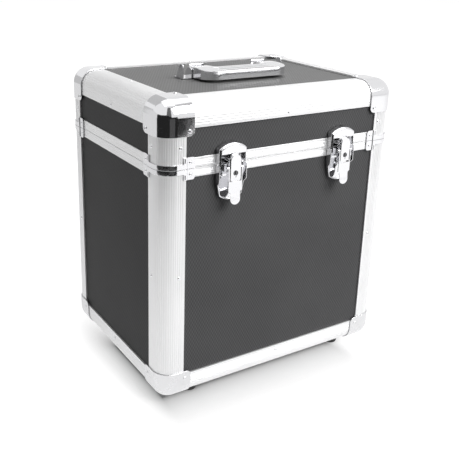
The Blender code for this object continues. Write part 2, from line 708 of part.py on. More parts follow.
def handle_bracket():
    """The right bracket about the pivot: a base plate, an outer wing, a stop wall, an ear and its pin."""
    floor = CLEARANCE - HANDLE_PIVOT_HEIGHT
    inside = floor + BRACKET_WALL / 2
    ear_in = HANDLE_HALF + CLEARANCE
    step = HANDLE_BACK_TOP - HANDLE_PIVOT_HEIGHT + STOP_GAP
    plan = [(ear_in, -BRACKET_FRONT), (BRACKET_OUT, -BRACKET_FRONT), (BRACKET_OUT, BRACKET_BACK),
            (HANDLE_GAP_HALF, BRACKET_BACK), (HANDLE_GAP_HALF, step), (ear_in, step)]
    plate = prism([plan], floor, floor + BRACKET_WALL)
    top = WING_HEIGHT - HANDLE_PIVOT_HEIGHT
    half = BRACKET_FRONT - SEAM
    wing_outline = [(half, inside), (half, top), (half - WING_TOP, top), (-WING_BACK, inside)]
    wing_out = BRACKET_OUT - SEAM
    wing = prism([wing_outline], -wing_out, BRACKET_WALL - wing_out, SIDE)
    stop = box((HANDLE_GAP_HALF + SEAM, step + SEAM, inside),
               (HANDLE_HALF - STOP_END, step + SEAM + BRACKET_WALL, STOP_HEIGHT - HANDLE_PIVOT_HEIGHT))
    ear_z = EAR_TOP - EAR_RADIUS - HANDLE_PIVOT_HEIGHT
    start = math.degrees(math.acos(half / EAR_RADIUS))
    ear_outline = arc((0, ear_z), EAR_RADIUS, start, 180, LATCH_STEPS)
    ear_outline += [(-EAR_RADIUS, inside), (half, inside)]
    ear = prism([ear_outline], -ear_in - SEAM - BRACKET_WALL, -ear_in - SEAM, SIDE)
    pin = cylinder((HANDLE_GAP_HALF + CLEARANCE, 0, 0), (ear_in + BRACKET_WALL / 2, 0, 0),
                   PIVOT_RADIUS, PIVOT_STEPS)
    return join(plate, wing, stop, ear, pin)


def brackets(parent):
    for name, sign in (("right", 1), ("left", -1)):
        piece = handle_bracket()
        if sign < 0:
            piece.data.transform(Matrix.Diagonal((-1, 1, 1, 1)))
            piece.data.flip_normals()
        piece.data.transform(Matrix.Translation(HANDLE_AT))
        keep(piece, f"handle_bracket_{name}", CHROME, parent, HANDLE_AT)


def plate_back():
    """Where a latch's plates begin: on the rim's face."""
    return CLEARANCE - RIM_RECESS


def catch_outline(shrink):
    """Straight sides under an arch, drawn in by shrink."""
    half = CATCH_HALF - shrink
    rise = CATCH_PEAK - CATCH_SIDE_TOP
    radius = (CATCH_HALF ** 2 + rise ** 2) / (2 * rise)
    centre = (0, CATCH_PEAK - radius)
    radius -= shrink
    angle = math.degrees(math.acos(half / radius))
    low = LATCH_SPLIT_GAP if shrink == 0 else -OVERRUN
    return [(-half, low), (half, low)] + arc(centre, radius, angle, 180 - angle, LATCH_STEPS)


def catch_plate():
    """The lid's half of a latch: a pressed box with an arched top, open towards the hook."""
    back = plate_back()
    body = prism([catch_outline(0)], back, CATCH_DEPTH, FRONT)
    round_edges(body, CATCH_EDGE, 2, lambda a, b: a.y < WELD - CATCH_DEPTH and b.y < WELD - CATCH_DEPTH
                and max(a.z, b.z) > LATCH_SPLIT_GAP + WELD)
    hollow = prism([catch_outline(LATCH_WALL)], back + LATCH_WALL, CATCH_DEPTH - LATCH_WALL, FRONT)
    half = CATCH_HALF - 2 * LATCH_WALL
    arch_z = HOOK_TOP - HOOK_HALF
    start = math.degrees(math.asin((CATCH_OPEN_TOP - arch_z) / CATCH_ARCH))
    mouth = [(-half, -OVERRUN), (half, -OVERRUN), (half, CATCH_OPEN_TOP)]
    mouth += arc((0, arch_z), CATCH_ARCH, start, 180 - start, LATCH_STEPS) + [(-half, CATCH_OPEN_TOP)]
    opening = prism([mouth], CATCH_DEPTH / 2, CATCH_DEPTH + OVERRUN, FRONT)
    cut(body, hollow, opening)
    strike = box((-STRIKE_HALF, -STRIKE_OUT, STRIKE_LOW), (STRIKE_HALF, -back - LATCH_WALL / 2, STRIKE_HIGH))
    return join(body, strike)


def base_outline(shrink):
    """Straight sides, then a taper down to a round bottom, drawn in by shrink."""
    half, foot = BASE_HALF - shrink, BASE_FOOT_HALF - shrink
    top = -LATCH_SPLIT_GAP if shrink == 0 else OVERRUN
    drop = BASE_BOTTOM - BASE_FOOT
    radius = (BASE_FOOT_HALF ** 2 + drop ** 2) / (2 * drop)
    centre = (0, radius - BASE_BOTTOM)
    radius -= shrink
    angle = math.degrees(math.acos(foot / radius))
    return [(half, top), (-half, top), (-half, -BASE_SHOULDER)] + arc(
        centre, radius, 180 + angle, 360 - angle, LATCH_STEPS) + [(half, -BASE_SHOULDER)]


def cheek_inside():
    """From the middle to the inner side of the lever's cheeks."""
    return HOOK_HALF + LEVER_GAP


def ear_inside():
    return cheek_inside() + LATCH_WALL + LEVER_GAP


def base_plate():
    """The base's half of a latch: a pressed tub with two ears that carry the lever."""
    back = plate_back()
    body = prism([base_outline(0)], back, BASE_DEPTH, FRONT)
    hollow = prism([base_outline(LATCH_WALL)], back + LATCH_WALL, BASE_DEPTH + OVERRUN, FRONT)
    past = BASE_DEPTH + OVERRUN
    below = -BASE_BOTTOM - OVERRUN
    slope = [(past, -BASE_SHOULDER), (BASE_DEPTH, -BASE_SHOULDER),
             (BASE_LOW_DEPTH, -BASE_SHOULDER - BASE_SLOPE), (BASE_LOW_DEPTH, below), (past, below)]
    reach = BASE_HALF + OVERRUN
    cut(body, hollow, prism([slope], -reach, reach, SIDE))
    added = []
    low = -LEVER_PIVOT_DOWN - BASE_EAR_HEIGHT
    for sign in (-1, 1):
        sides = sorted((sign * ear_inside(), sign * (ear_inside() + LATCH_WALL)))
        tip = arc((LEVER_PIVOT_OUT, -LEVER_PIVOT_DOWN), LEVER_EYE, 90, -90, LATCH_STEPS)
        foot = back + LATCH_WALL / 2
        top = LEVER_EYE - LEVER_PIVOT_DOWN
        outline = tip + [(LEVER_PIVOT_OUT - LEVER_EYE, low), (foot, low), (foot, top)]
        added.append(prism([outline], *sorted((-sides[0], -sides[1])), SIDE))
        pin_in = sign * (cheek_inside() + LEVER_GAP)
        pin_out = sign * (ear_inside() + LATCH_WALL / 2)
        added.append(cylinder((pin_in, -LEVER_PIVOT_OUT, -LEVER_PIVOT_DOWN),
                              (pin_out, -LEVER_PIVOT_OUT, -LEVER_PIVOT_DOWN), LEVER_PIN, PIVOT_STEPS))
    return join(body, *added)


def bend_tab(pull):
    """Lift the tab's tip off the plate, from its shoulder down."""
    edit = bmesh.new()
    edit.from_mesh(pull.data)
    bmesh.ops.bisect_plane(edit, geom=edit.verts[:] + edit.edges[:] + edit.faces[:], dist=WELD,
                           plane_co=(0, 0, -TAB_SHOULDER), plane_no=(0, 0, 1))
    for vertex in edit.verts:
        below = min(0, vertex.co.z + TAB_SHOULDER)
        vertex.co.y += TAB_RISE * below / (TAB_TIP - TAB_SHOULDER)
    edit.to_mesh(pull.data)
    edit.free()


def lever():
    """Two cheeks on the pivot, joined below the hook by the pull tab."""
    pivot = (LEVER_PIVOT_OUT, -LEVER_PIVOT_DOWN)
    cheek = arc(pivot, LEVER_EYE, 180, 0, LATCH_STEPS)
    cheek += [(LEVER_OUT, -LEVER_PIVOT_DOWN), (LEVER_OUT, -TAB_TOP - 2 * LATCH_WALL)]
    cheek += [(LEVER_OUT - LATCH_WALL, -TAB_TOP - 2 * LATCH_WALL)]
    cheek += [(LEVER_PIVOT_OUT - LEVER_EYE, -HOOK_PIVOT_DOWN)]
    outside = cheek_inside() + LATCH_WALL
    arms = [prism([cheek], *sorted((-sign * cheek_inside(), -sign * outside)), SIDE)
            for sign in (-1, 1)]
    tab = [(outside, -TAB_TOP), (-outside, -TAB_TOP), (-outside, -TAB_SIDE), (-TAB_HALF, -TAB_SHOULDER)]
    tab += arc((0, TAB_HALF - TAB_TIP), TAB_HALF, 180, 360, LATCH_STEPS)
    tab += [(TAB_HALF, -TAB_SHOULDER), (outside, -TAB_SIDE)]
    pull = join(prism([tab], LEVER_OUT - LATCH_WALL, LEVER_OUT, FRONT), *arms)
    bend_tab(pull)
    reach = outside + OVERRUN
    bore = cylinder((-reach, -pivot[0], pivot[1]), (reach, -pivot[0], pivot[1]),
                    LEVER_PIN + LOCK_GAP, PIVOT_STEPS)
    cut(pull, bore)
    pins = []
    for sign in (-1, 1):
        ends = [sign * (HOOK_HALF - LATCH_WALL), sign * (cheek_inside() + LATCH_WALL / 2)]
        pins.append(cylinder((ends[0], -HOOK_PIVOT_OUT, -HOOK_PIVOT_DOWN),
                             (ends[1], -HOOK_PIVOT_OUT, -HOOK_PIVOT_DOWN), LEVER_PIN, PIVOT_STEPS))
    return join(pull, *pins)


def hook():
    """The bar that draws the lid down: a channel with a round top and a claw over the strike."""
    def outline(shrink):
        half = HOOK_HALF - shrink
        low = -HOOK_BOTTOM if shrink == 0 else -HOOK_BOTTOM - OVERRUN
        top = arc((0, HOOK_TOP - HOOK_HALF), half, 0, 180, LATCH_STEPS)
        return [(-half, low), (half, low)] + top

    bar = prism([outline(0)], HOOK_BACK, LEVER_OUT, FRONT)
    hollow = prism([outline(LATCH_WALL)], HOOK_BACK - OVERRUN, LEVER_OUT - LATCH_WALL, FRONT)
    reach = HOOK_HALF + OVERRUN
    above = box((-reach, -HOOK_TOP_BACK, LATCH_SPLIT_GAP),
                (reach, -HOOK_BACK + OVERRUN, HOOK_TOP + OVERRUN))
    cut(bar, hollow, above)
    low = STRIKE_HIGH + CLEARANCE
    claw = box((-CLAW_HALF, LATCH_WALL / 2 - LEVER_OUT, low), (CLAW_HALF, -CLAW_BACK, low + CLAW_THICK))
    join(bar, claw)
    bore = cylinder((-reach, -HOOK_PIVOT_OUT, -HOOK_PIVOT_DOWN),
                    (reach, -HOOK_PIVOT_OUT, -HOOK_PIVOT_DOWN), LEVER_PIN + LOCK_GAP, PIVOT_STEPS)
    mouth = cylinder((0, -LEVER_OUT - OVERRUN, -LOCK_DOWN),
                     (0, -LEVER_OUT + LATCH_WALL + OVERRUN, -LOCK_DOWN), LOCK_RADIUS + LOCK_GAP, HINGE_SIDES)
    return cut(bar, bore, mouth)


def lock_barrel():
    """The lock's plug with its key slot."""
    plug = cylinder((0, LOCK_RECESS - LEVER_OUT, -LOCK_DOWN), (0, -LOCK_BACK, -LOCK_DOWN),
                    LOCK_RADIUS, HINGE_SIDES)
    slot = box((-KEY_WIDTH / 2, -LEVER_OUT - OVERRUN, -LOCK_DOWN - KEY_HEIGHT / 2),
               (KEY_WIDTH / 2, LOCK_RECESS - LEVER_OUT + KEY_DEPTH, -LOCK_DOWN + KEY_HEIGHT / 2))
    return cut(plug, slot)


def latches(base, lid):
    """Two alike latches, each with its hook on its lever and its lock barrel in its hook."""
    pivot = Vector((0, -LEVER_PIVOT_OUT, -LEVER_PIVOT_DOWN))
    link = Vector((0, -HOOK_PIVOT_OUT, -HOOK_PIVOT_DOWN))
    plug = Vector((0, -LEVER_OUT, -LOCK_DOWN))
    zero = Vector()
    carried = {}
    for kind, build, finish, at, parent in (("catch_plate", catch_plate, CHROME, zero, lid),
                                            ("base_plate", base_plate, CHROME, zero, base),
                                            ("lever", lever, CHROME, pivot, base),
                                            ("hook", hook, CHROME, link, "lever"),
                                            ("lock_barrel", lock_barrel, DARK_STEEL, plug, "hook")):
        piece = build()
        piece.data.transform(Matrix.Translation(-at))
        places = []
        for side, sx in (("left", -1), ("right", 1)):
            on = carried[parent, side] if isinstance(parent, str) else parent
            places.append((f"latch_{side}_{kind}", on, Vector((sx * LATCH_X, FRONT_Y, SPLIT_Z)) + at))
        for side, made in zip(("left", "right"), keep_copies(piece.data, finish, places)):
            carried[kind, side] = made
        bpy.data.objects.remove(piece)


def build_case():
    base = empty_at("case_base", (0, CENTRE_Y, 0))
    lid = empty_at("lid_hinge", HINGE_AT, base)
    slot_seat = BAR_RADIUS + CLEARANCE
    panels(base, "base", BOTTOM_Z + slot_seat, BASE_WEB_Z - CLEARANCE, BOTTOM_Z + PANEL_FACE)
    panels(lid, "lid", LID_WEB_Z + CLEARANCE, TOP_Z - slot_seat, LID_TOP_Z - PANEL)
    bottom_frame(base)
    posts(base, "base", BOTTOM_Z + BAR_LEG + CLEARANCE, BASE_WEB_Z - CLEARANCE)
    top_bars(lid)
    posts(lid, "lid", LID_WEB_Z + CLEARANCE, TOP_Z - BAR_LEG - CLEARANCE)
    rim("base_rim", base, SPLIT_Z - CLEARANCE / 2, BASE_RIM_HEIGHT, BASE_RIM_WEB, -1)
    rim("lid_rim", lid, SPLIT_Z + CLEARANCE / 2, LID_RIM_HEIGHT, LID_RIM_WEB, 1)
    corner_copies(lambda: corner_cap(TOP_CAP_DROP), "top_cap", CHROME, lid, TOP_Z, -1)
    corner_copies(lambda: corner_cap(BOTTOM_CAP_RISE), "bottom_cap", SATIN_STEEL, base, BOTTOM_Z, 1)
    for name, parent, height, up in (("lid_brace", lid, LID_RIM_HEIGHT, 1),
                                     ("base_brace", base, BASE_RIM_HEIGHT, -1)):
        corner_copies(lambda: corner_brace(height + BRACE_OVERLAP), name, CHROME, parent, SPLIT_Z, up)
    feet(base)
    hinge_leaf("hinge_leaf_base", base, -1, 0, False)
    hinge_leaf("hinge_leaf_lid", lid, 1, 1, True)
    handle(lid)
    brackets(lid)
    latches(base, lid)
    print(len([obj for obj in PARTS.objects if obj.type == "MESH"]), "pieces")


build_case()
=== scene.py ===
# %% [markdown]
# # A case for twelve-inch records
# The real thing is a plywood box in a dark laminate. Ribbed aluminium bars hold its edges, pressed
# steel caps close its corners, and a folding handle and two lever latches sit on it in chrome.
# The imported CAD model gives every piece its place. This script dresses it: it rebuilds the bars, the
# pressed metal and the small fittings with round edges, and gives each surface its finish.

# %% Load the frame
from math import acos, asin, cos, degrees, hypot, pi, radians, sin, sqrt, tan, tau

import bmesh
import bpy
from mathutils import Matrix, Vector


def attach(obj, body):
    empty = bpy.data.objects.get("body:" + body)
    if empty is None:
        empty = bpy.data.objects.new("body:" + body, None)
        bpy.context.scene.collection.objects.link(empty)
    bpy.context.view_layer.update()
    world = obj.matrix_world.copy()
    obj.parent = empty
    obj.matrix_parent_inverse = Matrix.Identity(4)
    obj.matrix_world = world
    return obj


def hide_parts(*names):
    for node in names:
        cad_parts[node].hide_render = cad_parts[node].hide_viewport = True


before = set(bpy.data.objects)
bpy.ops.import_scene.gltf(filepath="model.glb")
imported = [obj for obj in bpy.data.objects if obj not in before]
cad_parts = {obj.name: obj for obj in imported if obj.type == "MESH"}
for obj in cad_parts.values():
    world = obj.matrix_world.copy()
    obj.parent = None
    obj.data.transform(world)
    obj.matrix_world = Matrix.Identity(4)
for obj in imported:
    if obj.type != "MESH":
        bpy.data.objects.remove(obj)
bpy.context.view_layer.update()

# %% [markdown]
# ## Sizes
# A case maker draws the box first, and everything else sits on its faces. The same is done here: the
# body's width, depth and height come first, and the planes of its faces are worked out from them.

# %% The body's sizes, in metres
WIDTH, DEPTH, BODY_HEIGHT, LID_HEIGHT = 0.350, 0.268, 0.379, 0.0788
BOTTOM_Z = 0.008
CLEARANCE = 0.0003
CENTRE_Y = 0.00475
TOP_Z = BOTTOM_Z + BODY_HEIGHT
SPLIT_Z = TOP_Z - LID_HEIGHT
SIDE_X = WIDTH / 2
HALF_DEPTH = DEPTH / 2
FRONT_Y = CENTRE_Y - HALF_DEPTH
BACK_Y = CENTRE_Y + HALF_DEPTH
PANEL = 0.006
BAR_LEG = 0.032
BAR_WALL = 0.002
BAR_RADIUS = 0.020
PANEL_FACE = BAR_WALL + CLEARANCE
print("the body spans", WIDTH, DEPTH, BODY_HEIGHT)

# %% [markdown]
# ## Helpers for plain mesh work
# Most fittings are flat outlines with a thickness, cut and joined like sheet metal. A Boolean gives
# the cut, and a narrow bevel on the sharp edges then gives the bright line that real metal shows,
# because no pressed or turned edge is perfectly sharp.

# %% The bench: objects and meshes in work
WELD = 0.00001


def bench(mesh, name="bench"):
    """An object that holds a mesh while it is worked on."""
    made = bpy.data.objects.new(name, mesh)
    bpy.context.scene.collection.objects.link(made)
    return made


def baked(obj):
    """The object's mesh with its modifiers in it. The object is thrown away."""
    bpy.context.view_layer.update()
    mesh = bpy.data.meshes.new_from_object(obj.evaluated_get(bpy.context.evaluated_depsgraph_get()))
    bpy.data.objects.remove(obj)
    return mesh


def opened(mesh, flats_joined=False):
    """A mesh opened for editing. Flat faces that a cut has split can be joined first."""
    edit = bmesh.new()
    edit.from_mesh(mesh)
    if flats_joined:
        bmesh.ops.dissolve_limit(edit, angle_limit=radians(1), verts=edit.verts, edges=edit.edges)
    return edit


def closed(edit, mesh=None, faces_out=False):
    """The edit written to a mesh, a new one if none is given."""
    if faces_out:
        bmesh.ops.recalc_face_normals(edit, faces=edit.faces)
    mesh = mesh or bpy.data.meshes.new("part")
    edit.to_mesh(mesh)
    edit.free()
    return mesh


def sewn(mesh):
    """The mesh with its doubles merged and its faces pointing out."""
    edit = opened(mesh)
    bmesh.ops.remove_doubles(edit, verts=edit.verts, dist=WELD)
    return closed(edit, mesh, True)


def stacked(*meshes):
    """Several meshes as one."""
    edit = bmesh.new()
    for mesh in meshes:
        edit.from_mesh(mesh)
    return closed(edit)


def placed(mesh, matrix):
    """A copy of the mesh, moved, turned or mirrored, with its faces still pointing out."""
    made = mesh.copy()
    made.transform(matrix)
    if matrix.determinant() < 0:
        made.flip_normals()
    return made


# %% Outlines, prisms, rings and cuts
PLAN = Matrix.Identity(4)
FRONT = Matrix(((1, 0, 0, 0), (0, 0, -1, 0), (0, 1, 0, 0), (0, 0, 0, 1)))
SIDE = Matrix(((0, 0, -1, 0), (-1, 0, 0, 0), (0, 1, 0, 0), (0, 0, 0, 1)))
OVERRUN = 0.004


def arc(centre, radius, start, end, steps):
    turns = [radians(start + (end - start) * i / steps) for i in range(steps + 1)]
    return [(centre[0] + radius * cos(t), centre[1] + radius * sin(t)) for t in turns]


def prism(outline, low, high, axes=PLAN):
    """A closed outline extruded from low to high."""
    curve = bpy.data.curves.new("outline", "CURVE")
    curve.dimensions = "2D"
    curve.fill_mode = "BOTH"
    curve.extrude = (high - low) / 2
    spline = curve.splines.new("POLY")
    spline.points.add(len(outline) - 1)
    for point, (a, b) in zip(spline.points, outline):
        point.co = (a, b, 0, 1)
    spline.use_cyclic_u = True
    mesh = baked(bench(curve))
    mesh.transform(axes @ Matrix.Translation((0, 0, (low + high) / 2)))
    return bench(sewn(mesh))


def box(low, high):
    """A block, for cuts and for the square parts of a fitting."""
    edit = bmesh.new()
    size = [b - a for a, b in zip(low, high)]
    middle = [(a + b) / 2 for a, b in zip(low, high)]
    bmesh.ops.create_cube(edit, size=1, matrix=Matrix.LocRotScale(middle, None, size))
    return bench(closed(edit))


def cylinder(start, end, radius, sides=24):
    start, end = Vector(start), Vector(end)
    along = end - start
    turn = along.to_track_quat("Z", "Y").to_matrix().to_4x4()
    edit = bmesh.new()
    bmesh.ops.create_cone(edit, cap_ends=True, segments=sides, radius1=radius, radius2=radius,
                          depth=along.length, matrix=Matrix.Translation((start + end) / 2) @ turn)
    return bench(closed(edit))


def skin_over(edit, rings):
    """Faces from each ring of points to the next. A ring of one point is a pole."""
    for ring, after in zip(rings, rings[1:]):
        count = max(len(ring), len(after))
        for i in range(count):
            j = (i + 1) % count
            corners = [ring[i % len(ring)], ring[j % len(ring)]]
            corners += [after[j % len(after)], after[i % len(after)]]
            edit.faces.new(list(dict.fromkeys(corners)))


def combine(target, operation, tools):
    for tool in tools:
        modifier = target.modifiers.new(operation.lower(), "BOOLEAN")
        modifier.operation = operation
        modifier.solver = "EXACT"
        modifier.object = tool
    made = bench(sewn(baked(target)))
    for tool in tools:
        bpy.data.objects.remove(tool)
    return made


def cut(target, *tools):
    return combine(target, "DIFFERENCE", tools)


def joined(target, *tools):
    return combine(target, "UNION", tools)


# %% Soft edges
def bevelled(edit, parts, width, segments, **settings):
    bmesh.ops.bevel(edit, geom=parts, offset=width, segments=segments, profile=0.5,
                    **{"affect": "EDGES", **settings})


def soften(obj, width, segments, angle):
    bevel = obj.modifiers.new("edge", "BEVEL")
    bevel.width = width
    bevel.segments = segments
    bevel.limit_method = "ANGLE"
    bevel.angle_limit = radians(angle)


def eased(obj, width, segments=2, angle=35):
    """The object's mesh with its sharp edges rounded a little."""
    closed(opened(obj.data, True), obj.data)
    soften(obj, width, segments, angle)
    return baked(obj)


# %% [markdown]
# ## Finishes
# Each finish is built from nodes on Object coordinates, so that it is the same size on every piece
# and holds still when the case is turned. The numbers that are the same all over a surface sit on the
# shader itself, and only what varies, such as colour, roughness and bump, comes through a cable.

# %% Helpers for node trees
def adder(tree):
    """A helper that adds a node, feeds it and gives its output, the first one if none is named."""
    def add(kind, feeds=None, out=0, **settings):
        node = tree.nodes.new(kind)
        for key, value in settings.items():
            setattr(node, key, value)
        for key, value in (feeds or {}).items():
            if isinstance(value, bpy.types.NodeSocket):
                tree.links.new(value, node.inputs[key])
            else:
                node.inputs[key].default_value = value
        return node.outputs[out] if node.outputs else node
    return add


def finish_named(name, **values):
    """A new finish with its shader's own values set, and a way to add nodes to it."""
    made = bpy.data.materials.new(name)
    made.use_nodes = True
    shader = made.node_tree.nodes["Principled BSDF"]
    for key, value in values.items():
        socket = shader.inputs[key.replace("_", " ")]
        socket.default_value = (*value, 1) if isinstance(value, tuple) else value
    return made, shader, adder(made.node_tree)


def wired(shader, **feeds):
    """Run cables into the shader's sockets."""
    for key, value in feeds.items():
        shader.id_data.links.new(value, shader.inputs[key.replace("_", " ")])


def mathed(add, operation, first, second=0.5):
    return add("ShaderNodeMath", {0: first, 1: second}, operation=operation)


def vectored(add, operation, first, second=(0, 0, 0), out=0):
    return add("ShaderNodeVectorMath", {0: first, 1: second}, out, operation=operation)


def blended(add, share, first, second):
    """A colour between two, each a tuple or the output of another node."""
    mix = add("ShaderNodeMix", data_type="RGBA").node
    colours = [s for s in mix.inputs if s.type == "RGBA"]
    for socket, value in zip([mix.inputs["Factor"], *colours], (share, first, second)):
        if isinstance(value, bpy.types.NodeSocket):
            mix.id_data.links.new(value, socket)
        else:
            socket.default_value = (*value, 1)
    return [s for s in mix.outputs if s.type == "RGBA"][0]


def ramped(add, value, low, high, start=0.0, end=1.0):
    """Map a value from its own range, start to end, onto low to high."""
    return add("ShaderNodeMapRange", {"Value": value, "From Min": start, "From Max": end,
                                      "To Min": low, "To Max": high})


def placed_by(add, *stretch):
    """The surface's own place, stretched along each axis where three numbers are given."""
    place = add("ShaderNodeTexCoord", out="Object")
    return add("ShaderNodeMapping", {"Vector": place, "Scale": stretch}) if stretch else place


def speckled(add, place, scale, detail, **more):
    return add("ShaderNodeTexNoise", {"Vector": place, "Scale": scale, "Detail": detail, **more})


def bumped(add, height, distance, strength):
    return add("ShaderNodeBump", {"Height": height, "Distance": distance, "Strength": strength})


# %% [markdown]
# ### The laminate
# The panels wear a charcoal laminate with a fine crossed emboss, about three millimetres from ridge to
# ridge. A picture of it would blur close up, so two crossed waves give the emboss its height, which both
# bumps the surface and paints its valleys darker and its ridges paler, a painted shade and highlight. A
# soft cloud of noise keeps the sheet from looking dead flat. The inside is a plain dark lining, and
# the same finish switches to it behind the middle of each board.

# %% The laminate's nodes
EMBOSS_PITCH = 0.0034
EMBOSS_DEPTH = 0.00010
ACROSS, UPWARD = 0.85, 0.52
SIDE_TONES = (0.059, 0.059, 0.061), (0.120, 0.120, 0.122)
# The flat boards are the same laminate with paler tones: a painted sheen, the light a board catches when
# seen at a grazing angle.
PAINTED_SHEEN_TONES = (0.150, 0.150, 0.150), (0.228, 0.228, 0.228)
LINING = (0.030, 0.030, 0.031)


def outside_of_the_boards(add, place):
    """1 on the outer half of a board's thickness, and 0 on the lining."""
    middle = vectored(add, "SUBTRACT", place, (0, CENTRE_Y, (BOTTOM_Z + TOP_Z) / 2))
    mid_board = PANEL_FACE + PANEL / 2
    axes = add("ShaderNodeSeparateXYZ", {"Vector": middle}).node.outputs
    edges = [mathed(add, "GREATER_THAN", mathed(add, "ABSOLUTE", axis), half - mid_board)
             for axis, half in zip(axes, (SIDE_X, HALF_DEPTH, BODY_HEIGHT / 2))]
    return mathed(add, "MAXIMUM", mathed(add, "MAXIMUM", edges[0], edges[1]), edges[2])


def laminate(name, tones, *ways):
    """The panels' finish between two tones, with its emboss running across the two given directions."""
    made, shader, add = finish_named(name, Roughness=0.5, Specular_IOR_Level=0.1)
    place = placed_by(add)
    waves = []
    for way, strength in zip(ways, (0.62, 0.38)):
        along = vectored(add, "DOT_PRODUCT", place, way, "Value")
        wave = mathed(add, "SINE", mathed(add, "MULTIPLY", along, tau / EMBOSS_PITCH))
        waves.append(mathed(add, "MULTIPLY", wave, strength))
    height = ramped(add, mathed(add, "ADD", *waves), 0, 1, -1, 1)
    grain = speckled(add, place, 1400.0, 2.0)
    cloud = ramped(add, speckled(add, place, 9.0, 3.0), 0.0, 0.22, 0.3, 0.7)
    worn = mathed(add, "ADD", cloud, mathed(add, "MULTIPLY", grain, 0.15))
    # The emboss height sets the colour too: painted shade in the valleys and a painted highlight on the
    # ridges. The cloud and grain are random tone.
    skin = blended(add, mathed(add, "ADD", mathed(add, "MULTIPLY", height, 0.70), worn), *tones)
    wired(shader, Base_Color=blended(add, outside_of_the_boards(add, place), LINING, skin),
          Roughness=ramped(add, grain, 0.42, 0.56, 0.3, 0.7), Normal=bumped(add, height, EMBOSS_DEPTH, 0.9))
    return made


LAMINATE_SIDE = laminate("laminate_side", SIDE_TONES, (ACROSS, ACROSS, -UPWARD), (ACROSS, ACROSS, UPWARD))
LAMINATE_PAINTED_SHEEN = laminate("laminate_flat", PAINTED_SHEEN_TONES, (ACROSS, -UPWARD, 0), (ACROSS, UPWARD, 0))
print("laminate: pitch", EMBOSS_PITCH)

# %% [markdown]
# ### The aluminium
# The bars are extruded, then etched to an even satin white. Extrusion leaves very fine lines along
# the bar. Each bar's mesh carries an attribute with its place before it was set into the case, so the
# lines can run along every bar, whichever way it lies.

# %% The aluminium's nodes
ALUMINIUM_COLOUR = (0.88, 0.88, 0.885)


def satin_aluminium(name, attribute=None):
    made, shader, add = finish_named(name, Metallic=0.8, Base_Color=ALUMINIUM_COLOUR, Roughness=0.4)
    if attribute:
        place = add("ShaderNodeAttribute", out="Vector", attribute_name=attribute)
        stretched = add("ShaderNodeMapping", {"Vector": place, "Scale": (2600.0, 2600.0, 9.0)})
    else:
        stretched = placed_by(add, 60.0, 60.0, 2600.0)
    lines = speckled(add, stretched, 1.0, 2.0)
    cloud = speckled(add, placed_by(add), 14.0, 3.0)
    tint = blended(add, ramped(add, mathed(add, "ADD", lines, cloud), 0, 1, 0.6, 1.4),
                   *[tuple(c * share for c in ALUMINIUM_COLOUR) for share in (0.95, 1.04)])
    wired(shader, Base_Color=tint, Roughness=ramped(add, lines, 0.34, 0.48, 0.3, 0.7),
          Normal=bumped(add, lines, 0.00002, 0.5))
    return made


ALUMINIUM = satin_aluminium("satin_aluminium", "bar_place")
ALUMINIUM_RIM = satin_aluminium("satin_aluminium_rim")
print("aluminium:", ALUMINIUM_COLOUR)

# %% [markdown]
# ### The plated and polished metal
# Chrome is a mirror with small faults: a cloud of handling marks that dulls it in places, and a faint
# orange-peel ripple from the polishing. The bottom caps are bare steel, brushed rather than polished.

# %% Chrome, steel and rubber
def plated(name, colour, roughness, dulled, ripple):
    """A metal with marks that raise its roughness from one value to the other, and a soft ripple."""
    made, shader, add = finish_named(name, Metallic=1.0, Base_Color=colour, Roughness=roughness)
    place = placed_by(add)
    marks = ramped(add, speckled(add, place, 55.0, 5.0, Roughness=0.65), 0, 1, 0.4, 0.75)
    lines = ramped(add, speckled(add, placed_by(add, 3000.0, 3000.0, 120.0), 1.0, 1.0), 0.5, 1, 0.45, 0.7)
    wired(shader, Roughness=ramped(add, mathed(add, "MULTIPLY", marks, lines), roughness, dulled),
          Normal=bumped(add, speckled(add, place, 240.0, 1.0), ripple, 0.4))
    return made


def rubber(name):
    made, shader, add = finish_named(name, Base_Color=(0.018, 0.018, 0.018), Roughness=0.7)
    place = placed_by(add)
    dust = blended(add, speckled(add, place, 70.0, 3.0), (0.012, 0.012, 0.012), (0.034, 0.033, 0.032))
    wired(shader, Base_Color=dust, Normal=bumped(add, speckled(add, place, 900.0, 4.0), 0.0001, 0.5))
    return made


CHROME = plated("chrome", (0.77, 0.77, 0.785), 0.07, 0.16, 0.00003)
STEEL = plated("satin_steel", (0.72, 0.72, 0.73), 0.26, 0.42, 0.00003)
PLUG_STEEL = plated("lock_plug_steel", (0.14, 0.14, 0.145), 0.22, 0.4, 0.00002)
RUBBER = rubber("foot_rubber")

# %% [markdown]
# ## Setting a piece into the case
# Every finished piece is a plain mesh whose vertices already lie where they belong, on an object at the
# origin. It rides on one body of the CAD model, hides the CAD solids that it stands for, and takes its
# finish.

# %% One call for every piece
def set_in(name, mesh, body, finish, *stands_for):
    mesh.shade_smooth()
    mesh.set_sharp_from_angle(angle=radians(30))
    guide = bench(mesh)
    guide.modifiers.new("normals", "WEIGHTED_NORMAL").keep_sharp = True
    made = bench(baked(guide), name)
    made.data.materials.clear()
    made.data.materials.append(finish)
    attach(made, body)
    if stands_for:
        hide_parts(*stands_for)


TWO_SIDES = (("left", -1), ("right", 1))
CORNERS = [(f"{front}_{side}", sy, sx) for front, sy in (("front", -1), ("back", 1))
           for side, sx in TWO_SIDES]


def corner_place(sx, sy, z, from_side=0, from_front=0):
    return (sx * (SIDE_X - from_side), CENTRE_Y + sy * (HALF_DEPTH - from_front), z)


def at_corners(mesh, name, body, finish, z, up, kind="shell"):
    """Four mirrored copies of a corner piece, built with x and y running in from the two faces."""
    for corner, sy, sx in CORNERS:
        place = Matrix.Translation(corner_place(sx, sy, z)) @ Matrix.Diagonal((-sx, -sy, up, 1))
        set_in(f"{name}_{corner}_{kind}", placed(mesh, place), body, finish, f"{name}_{corner}")
    print(name, "at four corners,", len(mesh.polygons), "faces each")


